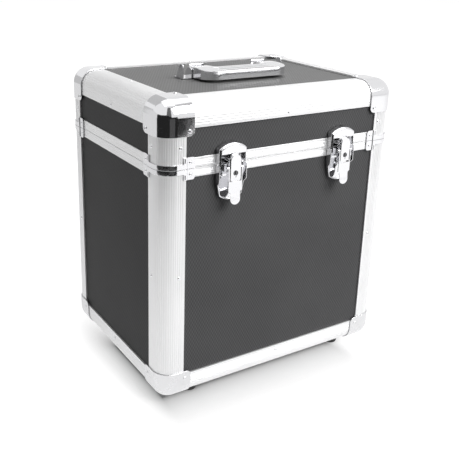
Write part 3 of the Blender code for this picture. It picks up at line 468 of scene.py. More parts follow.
# %% The panels keep their CAD solids and take the laminate
for node_name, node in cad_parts.items():
    if node_name.endswith("_panel"):
        # The flat boards take the paler copy of the laminate, whose extra brightness is a painted sheen.
        flat = node_name in ("floor_panel", "lid_top_panel")
        node.data.materials.clear()
        node.data.materials.append(LAMINATE_PAINTED_SHEEN if flat else LAMINATE_SIDE)
print("panels dressed")

# %% [markdown]
# ## A workbench for geometry trees
# Geometry Nodes suit what follows a rule: here the ribs of the bars and the many alike screws and
# rivets. Each tree starts from named inputs and ends alike, so short helpers are enough to write one
# down: one opens a tree, one ends it, and one runs it on a starting mesh and keeps the result.

# %% Helpers for geometry trees
def geometry_tree(name, **inputs):
    """A new tree with a geometry input and output and the named inputs, each with its kind."""
    tree = bpy.data.node_groups.new(name, "GeometryNodeTree")
    for way in ("INPUT", "OUTPUT"):
        tree.interface.new_socket("Geometry", in_out=way, socket_type="NodeSocketGeometry")
    for label, kind in inputs.items():
        tree.interface.new_socket(label.replace("_", " "), in_out="INPUT", socket_type="NodeSocket" + kind)
    add = adder(tree)
    return tree, add("NodeGroupInput").node.outputs, add


def ended(add, geometry, finish):
    """The end of every tree: copies made real and the finish set."""
    real = add("GeometryNodeRealizeInstances", {"Geometry": geometry})
    dressed = add("GeometryNodeSetMaterial", {"Geometry": real, "Material": finish})
    add("NodeGroupOutput", {"Geometry": dressed})


def named(add, attribute, kind):
    return add("GeometryNodeInputNamedAttribute", {"Name": attribute}, data_type=kind)


def grown(tree, mesh, **values):
    """The plain mesh that a tree makes from a starting mesh."""
    obj = bench(mesh)
    modifier = obj.modifiers.new("nodes", "NODES")
    modifier.node_group = tree
    for item in tree.interface.items_tree:
        if item.in_out == "INPUT" and item.name.replace(" ", "_") in values:
            modifier[item.identifier] = values[item.name.replace(" ", "_")]
    return baked(obj)


# %% [markdown]
# ## The edge bars
# A real bar is one aluminium extrusion: a rounded skin with a slot for a board on each leg, and fine
# grooves pressed along its outside. The section is drawn once as a closed line, and the tree does
# what the press does: it sinks the grooves into the skin, fills the section and pulls it to length.

# %% The section of a bar
SLOT_IN = BAR_WALL + PANEL + 2 * CLEARANCE
LIP = 0.0015
LIP_REACH = 0.010
SKIN_STEP = 0.00022


def bar_section():
    """A closed line of edges. Points on the skin know how far along it they lie and which way is in."""
    flat = BAR_LEG - BAR_RADIUS
    turn = BAR_RADIUS * pi / 2
    total = 2 * flat + turn
    count = round(total / SKIN_STEP)
    points, skin, inward = [], [], []
    for i in range(count + 1):
        s = total * i / count
        angle = min(max((s - flat) / BAR_RADIUS, 0), pi / 2)
        before, after = min(s, flat), max(0, s - flat - turn)
        points.append((BAR_LEG - before - BAR_RADIUS * sin(angle), BAR_RADIUS * (1 - cos(angle)) + after))
        skin.append(s)
        inward.append((sin(angle), cos(angle), 0))
    web, lip_end, lip_in = BAR_RADIUS - LIP, BAR_RADIUS + LIP_REACH, SLOT_IN + LIP
    radius = BAR_RADIUS - BAR_WALL
    tilt = degrees(asin((BAR_RADIUS - web) / radius))
    inside = [(BAR_WALL, BAR_LEG), (BAR_WALL, BAR_RADIUS), (SLOT_IN, BAR_RADIUS), (SLOT_IN, lip_end)]
    inside += [(lip_in, lip_end), (lip_in, web)]
    inside += arc((BAR_RADIUS, BAR_RADIUS), radius, 180 + tilt, 270 - tilt, 16)
    inside += [(b, a) for a, b in inside[5::-1]]
    points += inside
    skin += [0.0] * len(inside)
    inward += [(0, 0, 0)] * len(inside)
    mesh = bpy.data.meshes.new("bar_section")
    whole = len(points)
    mesh.from_pydata([(a, b, 0) for a, b in points], [(i, (i + 1) % whole) for i in range(whole)], [])
    mesh.attributes.new("skin", "FLOAT", "POINT").data.foreach_set("value", skin)
    ways = mesh.attributes.new("inward", "FLOAT_VECTOR", "POINT")
    ways.data.foreach_set("vector", [c for way in inward for c in way])
    print("bar section:", whole, "points, skin", round(total * 1000, 1), "mm")
    return mesh, total


BAR_SECTION, SKIN_LENGTH = bar_section()

# %% The tree that grooves and extrudes a section
EDGE_MARGIN = 0.0026
GROOVE_PITCH = 0.0029
GROOVE_DEPTH = 0.00032
GROOVE_SHARPNESS = 5.0


def extrusion_tree():
    tree, given, add = geometry_tree("ribbed_extrusion", Length="Float", Groove_Pitch="Float",
                                     Groove_Depth="Float", Skin_Length="Float", Margin="Float",
                                     Finish="Material")

    def sums(operation, first, second=0.0):
        return mathed(add, operation, first, second)

    middle = sums("MULTIPLY", given["Skin Length"], 0.5)
    off_middle = sums("ABSOLUTE", sums("SUBTRACT", named(add, "skin", "FLOAT"), middle))
    inside_margin = sums("LESS_THAN", off_middle, sums("SUBTRACT", middle, given["Margin"]))
    wave = sums("COSINE", sums("MULTIPLY", sums("DIVIDE", off_middle, given["Groove Pitch"]), tau))
    groove = sums("POWER", sums("MAXIMUM", wave), GROOVE_SHARPNESS)
    depth = sums("MULTIPLY", sums("MULTIPLY", groove, given["Groove Depth"]), inside_margin)
    inward = named(add, "inward", "FLOAT_VECTOR")
    sunk = add("ShaderNodeVectorMath", {0: inward, "Scale": depth}, operation="SCALE")
    line = add("GeometryNodeMeshToCurve", {"Mesh": given["Geometry"]})
    grooved = add("GeometryNodeSetPosition", {"Geometry": line, "Offset": sunk})
    face = add("GeometryNodeFillCurve", {"Curve": grooved}, mode="NGONS")
    pulled = add("GeometryNodeExtrudeMesh", {"Mesh": face, "Offset": (0, 0, 1), "Individual": False,
                                             "Offset Scale": given["Length"]}, mode="FACES")
    both = add("GeometryNodeJoinGeometry")
    for part in (pulled, add("GeometryNodeFlipFaces", {"Mesh": face})):
        tree.links.new(part, both.node.inputs[0])
    whole = add("GeometryNodeMergeByDistance", {"Geometry": both, "Distance": 0.000002})
    marked = add("GeometryNodeStoreNamedAttribute", {"Geometry": whole, "Name": "bar_place",
                                                     "Value": add("GeometryNodeInputPosition")},
                 data_type="FLOAT_VECTOR", domain="POINT")
    ended(add, marked, given["Finish"])
    return tree


EXTRUSION = extrusion_tree()


def bar(length):
    """A bar from z = 0 up, with its corner edge on the z axis and its legs along x and y."""
    made = grown(EXTRUSION, BAR_SECTION.copy(), Length=length, Groove_Pitch=GROOVE_PITCH,
                 Groove_Depth=GROOVE_DEPTH, Skin_Length=SKIN_LENGTH, Margin=EDGE_MARGIN, Finish=ALUMINIUM)
    return sewn(made)


print("one bar has", len(bar(0.1).polygons), "faces")

# %% [markdown]
# Upright bars stand at the four corners, in two lengths because the lid parts from the base. Level
# bars run along the top and bottom edges, and stop under the corner caps, where a real maker doesn't
# bother to mitre them either.

# %% Stand and lay the bars
POST_GAP = 0.0003
BASE_WEB, LID_WEB = 0.003, 0.0052
BASE_POST_LOW = BOTTOM_Z + BAR_LEG + POST_GAP
BASE_POST_HIGH = SPLIT_Z - CLEARANCE / 2 - BASE_WEB - POST_GAP
LID_POST_LOW = SPLIT_Z + CLEARANCE / 2 + LID_WEB + POST_GAP
LID_POST_HIGH = TOP_Z - BAR_LEG - POST_GAP


def level_bar(side, sign, z, up):
    """A level bar on one side of the case, with its other leg turned to up."""
    half = (SIDE_X if side == "x" else HALF_DEPTH) - (BAR_LEG + POST_GAP)
    along, inward = (0, 0, 1, -half), (0, -sign, 0, 0)
    rows = (along, inward) if side == "x" else (inward, along)
    place = (0, CENTRE_Y + sign * HALF_DEPTH, z) if side == "x" else (sign * SIDE_X, CENTRE_Y, z)
    return placed(bar(2 * half), Matrix.Translation(place) @ Matrix((*rows, (up, 0, 0, 0), (0, 0, 0, 1))))


SIDES = (("front", "x", -1), ("back", "x", 1), ("left", "y", -1), ("right", "y", 1))
for body, low, high in (("base", BASE_POST_LOW, BASE_POST_HIGH), ("lid", LID_POST_LOW, LID_POST_HIGH)):
    at_corners(bar(high - low), f"{body}_post", body, ALUMINIUM, low, 1, "bar")
for word, side, sign in SIDES:
    laid = level_bar(side, sign, TOP_Z, -1)
    set_in(f"lid_{word}_ribbed_bar", laid, "lid", ALUMINIUM, f"lid_{word}_edge_bar")
set_in("bottom_ribbed_bars", stacked(*[level_bar(side, sign, BOTTOM_Z, 1) for word, side, sign in SIDES]),
       "base", ALUMINIUM, "bottom_edge_frame")
print("bars: 8 posts, 4 on the lid, 4 below")

# %% [markdown]
# ## The rims
# Where the lid meets the base, each half ends in a flat aluminium ring. A tongue on the lower one
# fits a groove in the upper one and keeps dust out. A ring is a section carried round the case, so it
# is drawn as pairs of inset and height, and every pair becomes one rounded outline.

# %% Carry a section round the case
RIM_RECESS = 0.0008
RIM_STEPS = 20
TIGHTEST = 0.0015
BASE_RIM, LID_RIM = 0.0112, 0.0118
RIM_SOFT, RIM_LINE = 0.0004, 0.0003
TONGUE_IN, TONGUE_HALF, GROOVE_HALF = 0.0054, 0.0008, 0.0017


def loop_round(section):
    """A closed ring whose section is given as points of inset and height."""
    edit = bmesh.new()
    rings = []
    for inset, z in section:
        corner = max(BAR_RADIUS - inset, TIGHTEST)
        x, y = SIDE_X - inset - corner, HALF_DEPTH - inset - corner
        line = []
        for quarter, (sx, sy) in enumerate(((1, 1), (-1, 1), (-1, -1), (1, -1))):
            line += arc((sx * x, CENTRE_Y + sy * y), corner, 90 * quarter, 90 * quarter + 90, RIM_STEPS)
        rings.append([edit.verts.new((a, b, z)) for a, b in line])
    skin_over(edit, rings + rings[:1])
    return closed(edit, faces_out=True)


def rim_section(height, web, up, tongue):
    """A rim with a soft outer edge, three fine grooves along its face and its tongue or groove."""
    start = SPLIT_Z + up * CLEARANCE / 2
    lip_in = SLOT_IN + LIP
    soft = RIM_SOFT
    face = [(RIM_RECESS + soft, 0.0), (RIM_RECESS + soft * 0.3, soft * 0.3), (RIM_RECESS, soft)]
    for share in (0.30, 0.50, 0.70):
        at = height * share
        face += [(RIM_RECESS, at - soft), (RIM_RECESS + RIM_LINE, at), (RIM_RECESS, at + soft)]
    face += [(RIM_RECESS, height - soft), (RIM_RECESS + soft, height)]
    behind = [(BAR_WALL, height), (BAR_WALL, web), (SLOT_IN, web), (SLOT_IN, height)]
    behind += [(lip_in, height), (lip_in, 0.0)]
    middle, half = TONGUE_IN, TONGUE_HALF if tongue > 0 else GROOVE_HALF
    ridge = [(middle + half, 0.0), (middle + half, -tongue), (middle - half, -tongue), (middle - half, 0.0)]
    return [(inset, start + up * z) for inset, z in face + behind + ridge]


for body, section in (("base", (BASE_RIM, BASE_WEB, -1, 0.0024)), ("lid", (LID_RIM, LID_WEB, 1, -0.0033))):
    set_in(f"{body}_mouth_rim", loop_round(rim_section(*section)), body, ALUMINIUM_RIM, f"{body}_rim")
print("rims: two rings")

# %% [markdown]
# ## The corner caps
# A cap is pressed from one steel sheet into a ball corner with three flat lobes. It starts here as the
# corner of a cube: the three edges that meet are rounded to the bar's radius, the far corners of the
# lobes are rounded, and the skin then gets its thickness and a soft rim.

# %% Press a corner cap
CAP_WALL = 0.0012
CAP_REACH = 0.042
CAP_CORNER = 0.007


def corner_cap(rise, steps=20, lobe_steps=10):
    out = CLEARANCE + CAP_WALL
    edit = bmesh.new()
    size = Vector((CAP_REACH, CAP_REACH, rise)) + Vector((out, out, out))
    middle = size / 2 - Vector((out, out, out))
    bmesh.ops.create_cube(edit, size=1, matrix=Matrix.LocRotScale(middle, None, size))
    bmesh.ops.delete(edit, geom=[f for f in edit.faces if max(f.normal) > 0.5], context="FACES")
    bevelled(edit, [e for e in edit.edges if len(e.link_faces) == 2], BAR_RADIUS + out, steps)
    reach = (CAP_REACH, CAP_REACH, rise)
    lobes = [v for v in edit.verts if sum(abs(c - r) < WELD for c, r in zip(v.co, reach)) == 2]
    bevelled(edit, lobes, CAP_CORNER, lobe_steps, affect="VERTICES")
    bmesh.ops.recalc_face_normals(edit, faces=edit.faces)
    if sum(max(edit.faces, key=lambda f: f.calc_area()).normal) > 0:
        bmesh.ops.reverse_faces(edit, faces=edit.faces)
    cap = bench(closed(edit))
    shell = cap.modifiers.new("wall", "SOLIDIFY")
    shell.thickness = CAP_WALL
    shell.offset = -1
    shell.use_even_offset = True
    soften(cap, 0.0004, 3, 50)
    return baked(cap)


at_corners(corner_cap(0.041), "top_cap", "lid", CHROME, TOP_Z, -1)
at_corners(corner_cap(0.0365), "bottom_cap", "base", STEEL, BOTTOM_Z, 1)

# %% [markdown]
# ## The braces at the split line
# Beside the split, a strip of plated steel wraps each corner on either side of it and steps down onto
# the rims. The strip is one outline seen from above, cut away between its ears above the narrow band,
# with a small slot beside each ear where the press tool held it.

# %% Bend and cut a brace
BRACE_WALL = 0.0012
BRACE_BAND = 0.006
BRACE_SLOT, SLOT_WIDTH = 0.005, 0.0012
EAR_ROUND = 0.003
EAR_START = 0.028
EAR_REACH = 0.043
RIM_PAST = 0.002


def brace_outline(steps=20):
    def line(out, rim_face):
        bend = BAR_LEG + CLEARANCE
        flat = [(EAR_REACH, rim_face), (bend + 0.001, rim_face), (bend, -out)]
        curve = arc((BAR_RADIUS, BAR_RADIUS), BAR_RADIUS + out, 270, 180, steps)
        return flat + curve + [(b, a) for a, b in reversed(flat)]

    inner = line(CLEARANCE, RIM_RECESS - CLEARANCE)
    return inner + line(CLEARANCE + BRACE_WALL, RIM_RECESS - CLEARANCE - BRACE_WALL)[::-1]


def corner_brace(ear_height):
    brace = prism(brace_outline(), CLEARANCE / 2, ear_height)
    past = BRACE_WALL + OVERRUN
    tools = [box((-past, -past, BRACE_BAND), (EAR_START, EAR_START, ear_height + OVERRUN))]
    for along in (0, 1):
        corner = [0, 0, (BRACE_BAND + ear_height - BRACE_SLOT) / 2]
        corner[along] = EAR_START + SLOT_WIDTH
        corner[1 - along] = -past
        size = [SLOT_WIDTH, past + OVERRUN, BRACE_SLOT]
        if along == 1:
            size[0], size[1] = size[1], size[0]
        tools.append(box(corner, [a + b for a, b in zip(corner, size)]))
    brace = cut(brace, *tools)
    edit = opened(brace.data, True)
    far = EAR_REACH - WELD
    ends = [e for e in edit.edges if all(max(v.co.x, v.co.y) > far and abs(v.co.z - ear_height) < WELD
                                         for v in e.verts)]
    bevelled(edit, ends, EAR_ROUND, 6)
    closed(edit, brace.data)
    return eased(brace, 0.00025, 2, 50)


for body, rim, up in (("lid", LID_RIM, 1), ("base", BASE_RIM, -1)):
    at_corners(corner_brace(rim + RIM_PAST), f"{body}_brace", body, CHROME, SPLIT_Z, up)

# %% [markdown]
# ## The feet
# Each foot is a turned rubber button with a screw sunk in the middle. A turned shape is a profile spun
# round an axis, so a short list of radius and height pairs draws it.

# %% Turn a profile
def turned(profile, sides):
    """A closed profile of radius and height, from the axis back to the axis, spun round z."""
    edit = bmesh.new()
    rings = [[edit.verts.new((radius * cos(tau * i / sides), radius * sin(tau * i / sides), z))
              for i in range(1 if radius < WELD else sides)] for radius, z in profile]
    skin_over(edit, rings)
    return closed(edit, faces_out=True)


FOOT_TOP = BOTTOM_Z - CLEARANCE
FOOT_PROFILE = [(0, 0.003), (0.0038, 0.003), (0.0040, 0.0028), (0.0040, 0.0006), (0.0044, 0.0001),
                (0.0050, 0), (0.0088, 0), (0.0094, 0.0003), (0.0098, 0.0012), (0.0103, 0.0040),
                (0.0106, 0.0043), (0.0106, 0.0049), (0.0104, 0.0052), (0.0108, 0.0070), (0.0110, 0.0074),
                (0.0109, FOOT_TOP), (0, FOOT_TOP)]
FOOT_FROM_SIDE = 0.055
FOOT_FROM_FRONT = 0.026
foot = turned(FOOT_PROFILE, 48)
for corner, sy, sx in CORNERS:
    place = Matrix.Translation(corner_place(sx, sy, 0, FOOT_FROM_SIDE, FOOT_FROM_FRONT))
    set_in(f"rubber_foot_{corner}", placed(foot, place), "base", RUBBER, f"foot_{corner}")
print("feet:", len(foot.polygons), "faces each")

# %% [markdown]
# ## The hinge at the back
# The lid turns on a long knuckled hinge. Its knuckles are alike and evenly spaced, and every second
# one belongs to the lid, so a tree sets copies of one knuckle on a row of points.

# %% The tree that sets copies in a row
def row_tree():
    tree, given, add = geometry_tree("row_of_copies", Piece="Object", Count="Int", Pitch="Float",
                                     Start="Float", Finish="Material")
    start, step = [add("ShaderNodeCombineXYZ", {"X": given[word]}) for word in ("Start", "Pitch")]
    line = add("GeometryNodeMeshLine", {"Count": given["Count"], "Start Location": start, "Offset": step},
               mode="OFFSET")
    piece = add("GeometryNodeObjectInfo", {"Object": given["Piece"]}, "Geometry")
    ended(add, add("GeometryNodeInstanceOnPoints", {"Points": line, "Instance": piece}), given["Finish"])
    return tree


ROW = row_tree()

# %% Roll the knuckles and set the leaves
HINGE_LENGTH = 0.252
KNUCKLES = 9
KNUCKLE_RADIUS = 0.0026
KNUCKLE_TAIL = 0.0036
HINGE_OUT = 0.0023
HINGE_AXIS = Vector((0, BACK_Y + HINGE_OUT, SPLIT_Z))
HINGE_PIN = 0.0012
PITCH = HINGE_LENGTH / KNUCKLES
KNUCKLE_GAP = 0.0005
LEAF = 0.0012
LEAF_BACK = -HINGE_OUT - (RIM_RECESS - CLEARANCE)
LEAF_START, LEAF_END = 0.0031, 0.0108


def hinge_leaf(name, body, up, first, count, node):
    half = (PITCH - KNUCKLE_GAP) / 2
    low, high = sorted((0, up * KNUCKLE_TAIL))
    tail = box((-half + 0.0001, LEAF_BACK, low), (half - 0.0001, LEAF_BACK + LEAF, high))
    knuckle = joined(cylinder((-half, 0, 0), (half, 0, 0), KNUCKLE_RADIUS, 40), tail)
    shape = bench(eased(knuckle, 0.0002))
    row = grown(ROW, bpy.data.meshes.new("start"), Piece=shape, Count=count, Pitch=2 * PITCH,
                Start=-HINGE_LENGTH / 2 + PITCH * (first + 0.5), Finish=ALUMINIUM_RIM)
    bpy.data.objects.remove(shape)
    low, high = sorted((up * LEAF_START, up * LEAF_END))
    leaf = box((-HINGE_LENGTH / 2, LEAF_BACK, low), (HINGE_LENGTH / 2, LEAF_BACK + LEAF, high))
    parts = [row, eased(leaf, 0.0003)]
    if body == "base":
        reach = HINGE_LENGTH / 2 - 0.0002
        parts.append(baked(cylinder((-reach, 0, 0), (reach, 0, 0), HINGE_PIN)))
    set_in(name, placed(stacked(*parts), Matrix.Translation(HINGE_AXIS)), body, ALUMINIUM_RIM, node)


hinge_leaf("hinge_base_half", "base", -1, 0, 5, "hinge_leaf_base")
hinge_leaf("hinge_lid_half", "lid", 1, 1, 4, "hinge_leaf_lid")
print("hinge:", KNUCKLES, "knuckles")

# %% [markdown]
# ## The folding handle
# The handle is a cast U: a broad grip with fine grooves along its top and two arms that end in round
# eyes. It is built as one section carried along the U. At each step the section spans from the inner
# edge to the outer edge of the plan, and the side view gives how high its top and bottom stand there.

# %% The handle's plan and side view
HANDLE_AT = Vector((0, 0.00105, TOP_Z - PANEL_FACE + 0.0080))
HANDLE_HALF = 0.064
GAP_HALF = 0.038
HANDLE_FRONT = 0.0465
GRIP = 0.029
HANDLE_CORNER = 0.020
GAP_CORNER = 0.006
PIVOT_HEIGHT = 0.0080
EYE = 0.0073
BOTTOM = 0.0036 - PIVOT_HEIGHT
FRONT_TOP = 0.0146 - PIVOT_HEIGHT
BACK_TOP = 0.0162 - PIVOT_HEIGHT
CREST = GRIP - HANDLE_FRONT


def top_of(y):
    """How high the handle's top stands over the pivot, with y forward negative."""
    if y > 0:
        return sqrt(max(EYE ** 2 - y ** 2, 0))
    if y > CREST:
        return EYE + (BACK_TOP - EYE) * sin(y / CREST * pi / 2)
    return BACK_TOP + (FRONT_TOP - BACK_TOP) * (CREST - y) / GRIP


def bottom_of(y):
    if y > 0:
        return -sqrt(max(EYE ** 2 - y ** 2, 0))
    return -EYE + (BOTTOM + EYE) * min(1, -y / HANDLE_FRONT)


def handle_stations(steps=8):
    """Pairs of outer and inner points of the plan, from the left eye round to the right one."""
    eye = [EYE * cos(radians(a)) for a in range(0, 91, 6)]
    pairs = [((HANDLE_HALF, y), (GAP_HALF, y)) for y in eye]
    pairs += [((HANDLE_HALF, (HANDLE_CORNER - HANDLE_FRONT) * i / steps),
               (GAP_HALF, (CREST + GAP_CORNER) * i / steps)) for i in range(1, steps + 1)]
    outer = arc((HANDLE_HALF - HANDLE_CORNER, HANDLE_CORNER - HANDLE_FRONT), HANDLE_CORNER, 0, -90, 20)
    inner = arc((GAP_HALF - GAP_CORNER, CREST + GAP_CORNER), GAP_CORNER, 0, -90, 20)
    pairs += list(zip(outer, inner))[1:]
    pairs += [(((HANDLE_HALF - HANDLE_CORNER) * (1 - i / steps), -HANDLE_FRONT),
               ((GAP_HALF - GAP_CORNER) * (1 - i / steps), CREST)) for i in range(1, steps + 1)]
    return pairs + [((-o[0], o[1]), (-i[0], i[1])) for o, i in reversed(pairs[:-1])]


print("handle:", len(handle_stations()), "stations")

# %% Carry the section along the U
GROOVES = (0.22, 0.50, 0.78)
GROOVE_HALF_WIDTH = 0.045
GROOVE_DROP = 0.0010
GROOVE_END, GROOVE_FADE = 0.043, 0.003
HANDLE_CROWN = 0.0002
SOFT_EDGE = 0.0006
EDGE_HEIGHTS = (0.93, 0.80, 0.5, 0.2, 0.07)
BORE = 0.0026


def handle_height(across, up, width, x, y, on_grip):
    """How high a point of the section stands, from its shares across and up the section."""
    high, low = top_of(y), bottom_of(y)
    side = min(across, 1 - across) * width
    soft = min(SOFT_EDGE, (high - low) / 2)
    if side < soft:
        drop = soft - sqrt(max(soft ** 2 - (soft - side) ** 2, 0))
        high, low = high - drop, low + drop
    z = low + (high - low) * up
    if up == 1.0 and soft == SOFT_EDGE:
        fade = min(max((GROOVE_END - abs(x)) / GROOVE_FADE, 0), 1) if on_grip else 0
        for groove in GROOVES:
            near = abs(across - groove) / GROOVE_HALF_WIDTH
            if near < 1:
                z -= GROOVE_DROP * fade * (0.5 + 0.5 * cos(pi * near))
        z += HANDLE_CROWN * (1 - (2 * across - 1) ** 2) * min(1, max(0, -y) / 0.01)
    return z


def handle_mesh():
    section = [(i / 80, 1.0) for i in range(81)] + [(1.0, up) for up in EDGE_HEIGHTS]
    section += [(1 - i / 12, 0.0) for i in range(13)] + [(0.0, up) for up in EDGE_HEIGHTS[::-1]]
    edit = bmesh.new()
    rings = []
    for (ox, oy), (ix, iy) in handle_stations():
        width = hypot(ox - ix, oy - iy)
        ring = []
        for across, up in section:
            x, y = ix + (ox - ix) * across, iy + (oy - iy) * across
            ring.append(edit.verts.new((x, y, handle_height(across, up, width, x, y, oy < CREST))))
        rings.append(ring)
    skin_over(edit, rings)
    edit.faces.new(rings[0])
    edit.faces.new(rings[-1][::-1])
    bmesh.ops.remove_doubles(edit, verts=edit.verts, dist=WELD)
    bmesh.ops.dissolve_degenerate(edit, edges=edit.edges, dist=WELD)
    return closed(edit, faces_out=True)


through = HANDLE_HALF + OVERRUN
handle = cut(bench(handle_mesh()), cylinder((-through, 0, 0), (through, 0, 0), BORE, 48))
grip = placed(baked(handle), Matrix.Translation(HANDLE_AT))
set_in("folding_handle", grip, "handle", CHROME, "handle_grip")
print("handle:", len(grip.polygons), "faces")

# %% [markdown]
# ## The handle's brackets
# Each bracket is folded from one strip: a plate on the lid, a wing outside, a round ear that holds the
# pivot and a wall that stops the handle when it stands up. Plates with eased edges, set one on
# another, look like that folded strip.

# %% Fold a bracket
BRACKET_WALL = 0.0015
BRACKET_FRONT = 0.0065
BRACKET_BACK = 0.0160
BRACKET_OUT = 0.0785
BRACKET_EAR = 0.0092
WING_TOP, STOP_TOP, EAR_TOP = 0.0195, 0.017, 0.0150


def bracket():
    floor = CLEARANCE - PIVOT_HEIGHT
    inside = floor + BRACKET_WALL / 2
    ear_in = HANDLE_HALF + CLEARANCE
    step = BACK_TOP + 0.0008
    plan = [(ear_in, -BRACKET_FRONT), (BRACKET_OUT, -BRACKET_FRONT), (BRACKET_OUT, BRACKET_BACK),
            (GAP_HALF, BRACKET_BACK), (GAP_HALF, step), (ear_in, step)]
    plate = eased(prism(plan, floor, floor + BRACKET_WALL), 0.0004)
    top = WING_TOP - PIVOT_HEIGHT
    front, back_top = BRACKET_FRONT, BRACKET_FRONT - 0.009
    wing_line = [(front, inside)] + arc((front - 0.0025, top - 0.0025), 0.0025, 0, 90, 8)
    wing_line += arc((back_top + 0.0012, top - 0.0020), 0.0020, 90, 140, 6) + [(-0.012, inside)]
    wing = eased(prism(wing_line, -BRACKET_OUT, BRACKET_WALL - BRACKET_OUT, SIDE), 0.0004)
    wall = box((GAP_HALF, step, inside), (HANDLE_HALF - 0.004, step + BRACKET_WALL, STOP_TOP - PIVOT_HEIGHT))
    wall = eased(wall, 0.0005, 3)
    ear_z = EAR_TOP - BRACKET_EAR - PIVOT_HEIGHT
    start = degrees(acos(BRACKET_FRONT / BRACKET_EAR))
    ear_line = arc((0, ear_z), BRACKET_EAR, start, 180, 28)
    ear_line += [(-BRACKET_EAR, inside), (BRACKET_FRONT, inside)]
    ear = eased(prism(ear_line, -ear_in - BRACKET_WALL, -ear_in, SIDE), 0.0004)
    pin = baked(cylinder((GAP_HALF + CLEARANCE, 0, 0), (ear_in + BRACKET_WALL / 2, 0, 0), 0.0022))
    return stacked(plate, wing, wall, ear, pin)


right_bracket = bracket()
for side, sx in TWO_SIDES:
    made = placed(right_bracket, Matrix.Translation(HANDLE_AT) @ Matrix.Diagonal((sx, 1, 1, 1)))
    set_in(f"{side}_handle_bracket_strip", made, "lid", CHROME, f"handle_bracket_{side}")
print("brackets:", len(right_bracket.polygons), "faces each")

# %% [markdown]
# ## The latches
# A latch has five pieces. The catch plate sits on the lid and the base plate under it. The lever turns
# on the base plate's ears, the hook turns on the lever and carries the lock. Pressing the tab down
# pulls the hook over the strike. All of them are pressed steel, so each is an outline with a wall.

# %% The two plates
LATCH_X = 0.084
WALL = 0.0012
PLATE_BACK = CLEARANCE - RIM_RECESS
SPLIT_GAP = 0.0006
STEPS = 28
CATCH_HALF = 0.019
CATCH_SIDE = 0.0190
CATCH_PEAK = 0.0260
PLATE_DEPTH = 0.0080
PLATE_ROUND = 0.0042
BASE_HALF = 0.0195
BASE_FOOT = 0.0155
BASE_SHOULDER = -0.020
BASE_CORNER, BASE_LOW = 0.0390, 0.0445
LOW_DEPTH, SLOPE_END = 0.0036, -0.025
HOOK_HALF = 0.0080
HOOK_TOP = 0.0136
CHEEK_IN = HOOK_HALF + 0.0003
EAR_IN = CHEEK_IN + WALL + 0.0003
LEVER_OUT = 0.0132
LEVER_PIVOT = (0.0103, -0.0038)
HOOK_PIVOT = (0.0093, -0.0130)
LEVER_EYE = 0.0027
PIN = 0.0014


def catch_outline(shrink):
    half = CATCH_HALF - shrink
    rise = CATCH_PEAK - CATCH_SIDE
    radius = (CATCH_HALF ** 2 + rise ** 2) / (2 * rise)
    centre = (0, CATCH_PEAK - radius)
    radius -= shrink
    angle = degrees(acos(half / radius))
    low = SPLIT_GAP if shrink == 0 else -OVERRUN
    return [(-half, low), (half, low)] + arc(centre, radius, angle, 180 - angle, STEPS)


def pressed(obj, depth, radius, low):
    """Round the edges round the front face, as a press tool does, but not the one along the low end."""
    edit = opened(obj.data, True)
    rim = [e for e in edit.edges if all(abs(v.co.y + depth) < WELD for v in e.verts)
           and any(abs(v.co.z - low) > WELD for v in e.verts)]
    bevelled(edit, rim, radius, 6, clamp_overlap=True)
    closed(edit, obj.data)
    return obj


def catch_plate():
    body = prism(catch_outline(0), PLATE_BACK, PLATE_DEPTH, FRONT)
    body = pressed(body, PLATE_DEPTH, PLATE_ROUND, SPLIT_GAP)
    hollow = prism(catch_outline(WALL), PLATE_BACK + WALL, PLATE_DEPTH - WALL, FRONT)
    hollow = pressed(hollow, PLATE_DEPTH - WALL, PLATE_ROUND - WALL, -OVERRUN)
    half = CATCH_HALF - 2 * WALL
    arch, arch_z, mouth_top = 0.0094, HOOK_TOP - HOOK_HALF, 0.0128
    start = degrees(asin((mouth_top - arch_z) / arch))
    mouth = [(-half, -OVERRUN), (half, -OVERRUN), (half, mouth_top)]
    mouth += arc((0, arch_z), arch, start, 180 - start, STEPS) + [(-half, mouth_top)]
    body = cut(body, hollow, prism(mouth, PLATE_DEPTH / 2, PLATE_DEPTH + OVERRUN, FRONT))
    strike = box((-0.005, -0.0062, 0.0030), (0.005, -PLATE_BACK - WALL / 2, 0.0050))
    return stacked(eased(body, 0.00035, 2), eased(strike, 0.0004))


def base_outline(shrink):
    half, foot_half = BASE_HALF - shrink, BASE_FOOT - shrink
    top = -SPLIT_GAP if shrink == 0 else OVERRUN
    drop = BASE_LOW - BASE_CORNER
    radius = (BASE_FOOT ** 2 + drop ** 2) / (2 * drop)
    centre = (0, radius - BASE_LOW)
    radius -= shrink
    angle = degrees(acos(foot_half / radius))
    return [(half, top), (-half, top), (-half, BASE_SHOULDER)] + arc(
        centre, radius, 180 + angle, 360 - angle, STEPS) + [(half, BASE_SHOULDER)]


def cross_pin(sign, start, end, pivot):
    """A short pin from start to end beside the middle, with soft ends."""
    ends = [(sign * x, -pivot[0], pivot[1]) for x in (start, end)]
    return eased(cylinder(*ends, PIN), 0.0003)


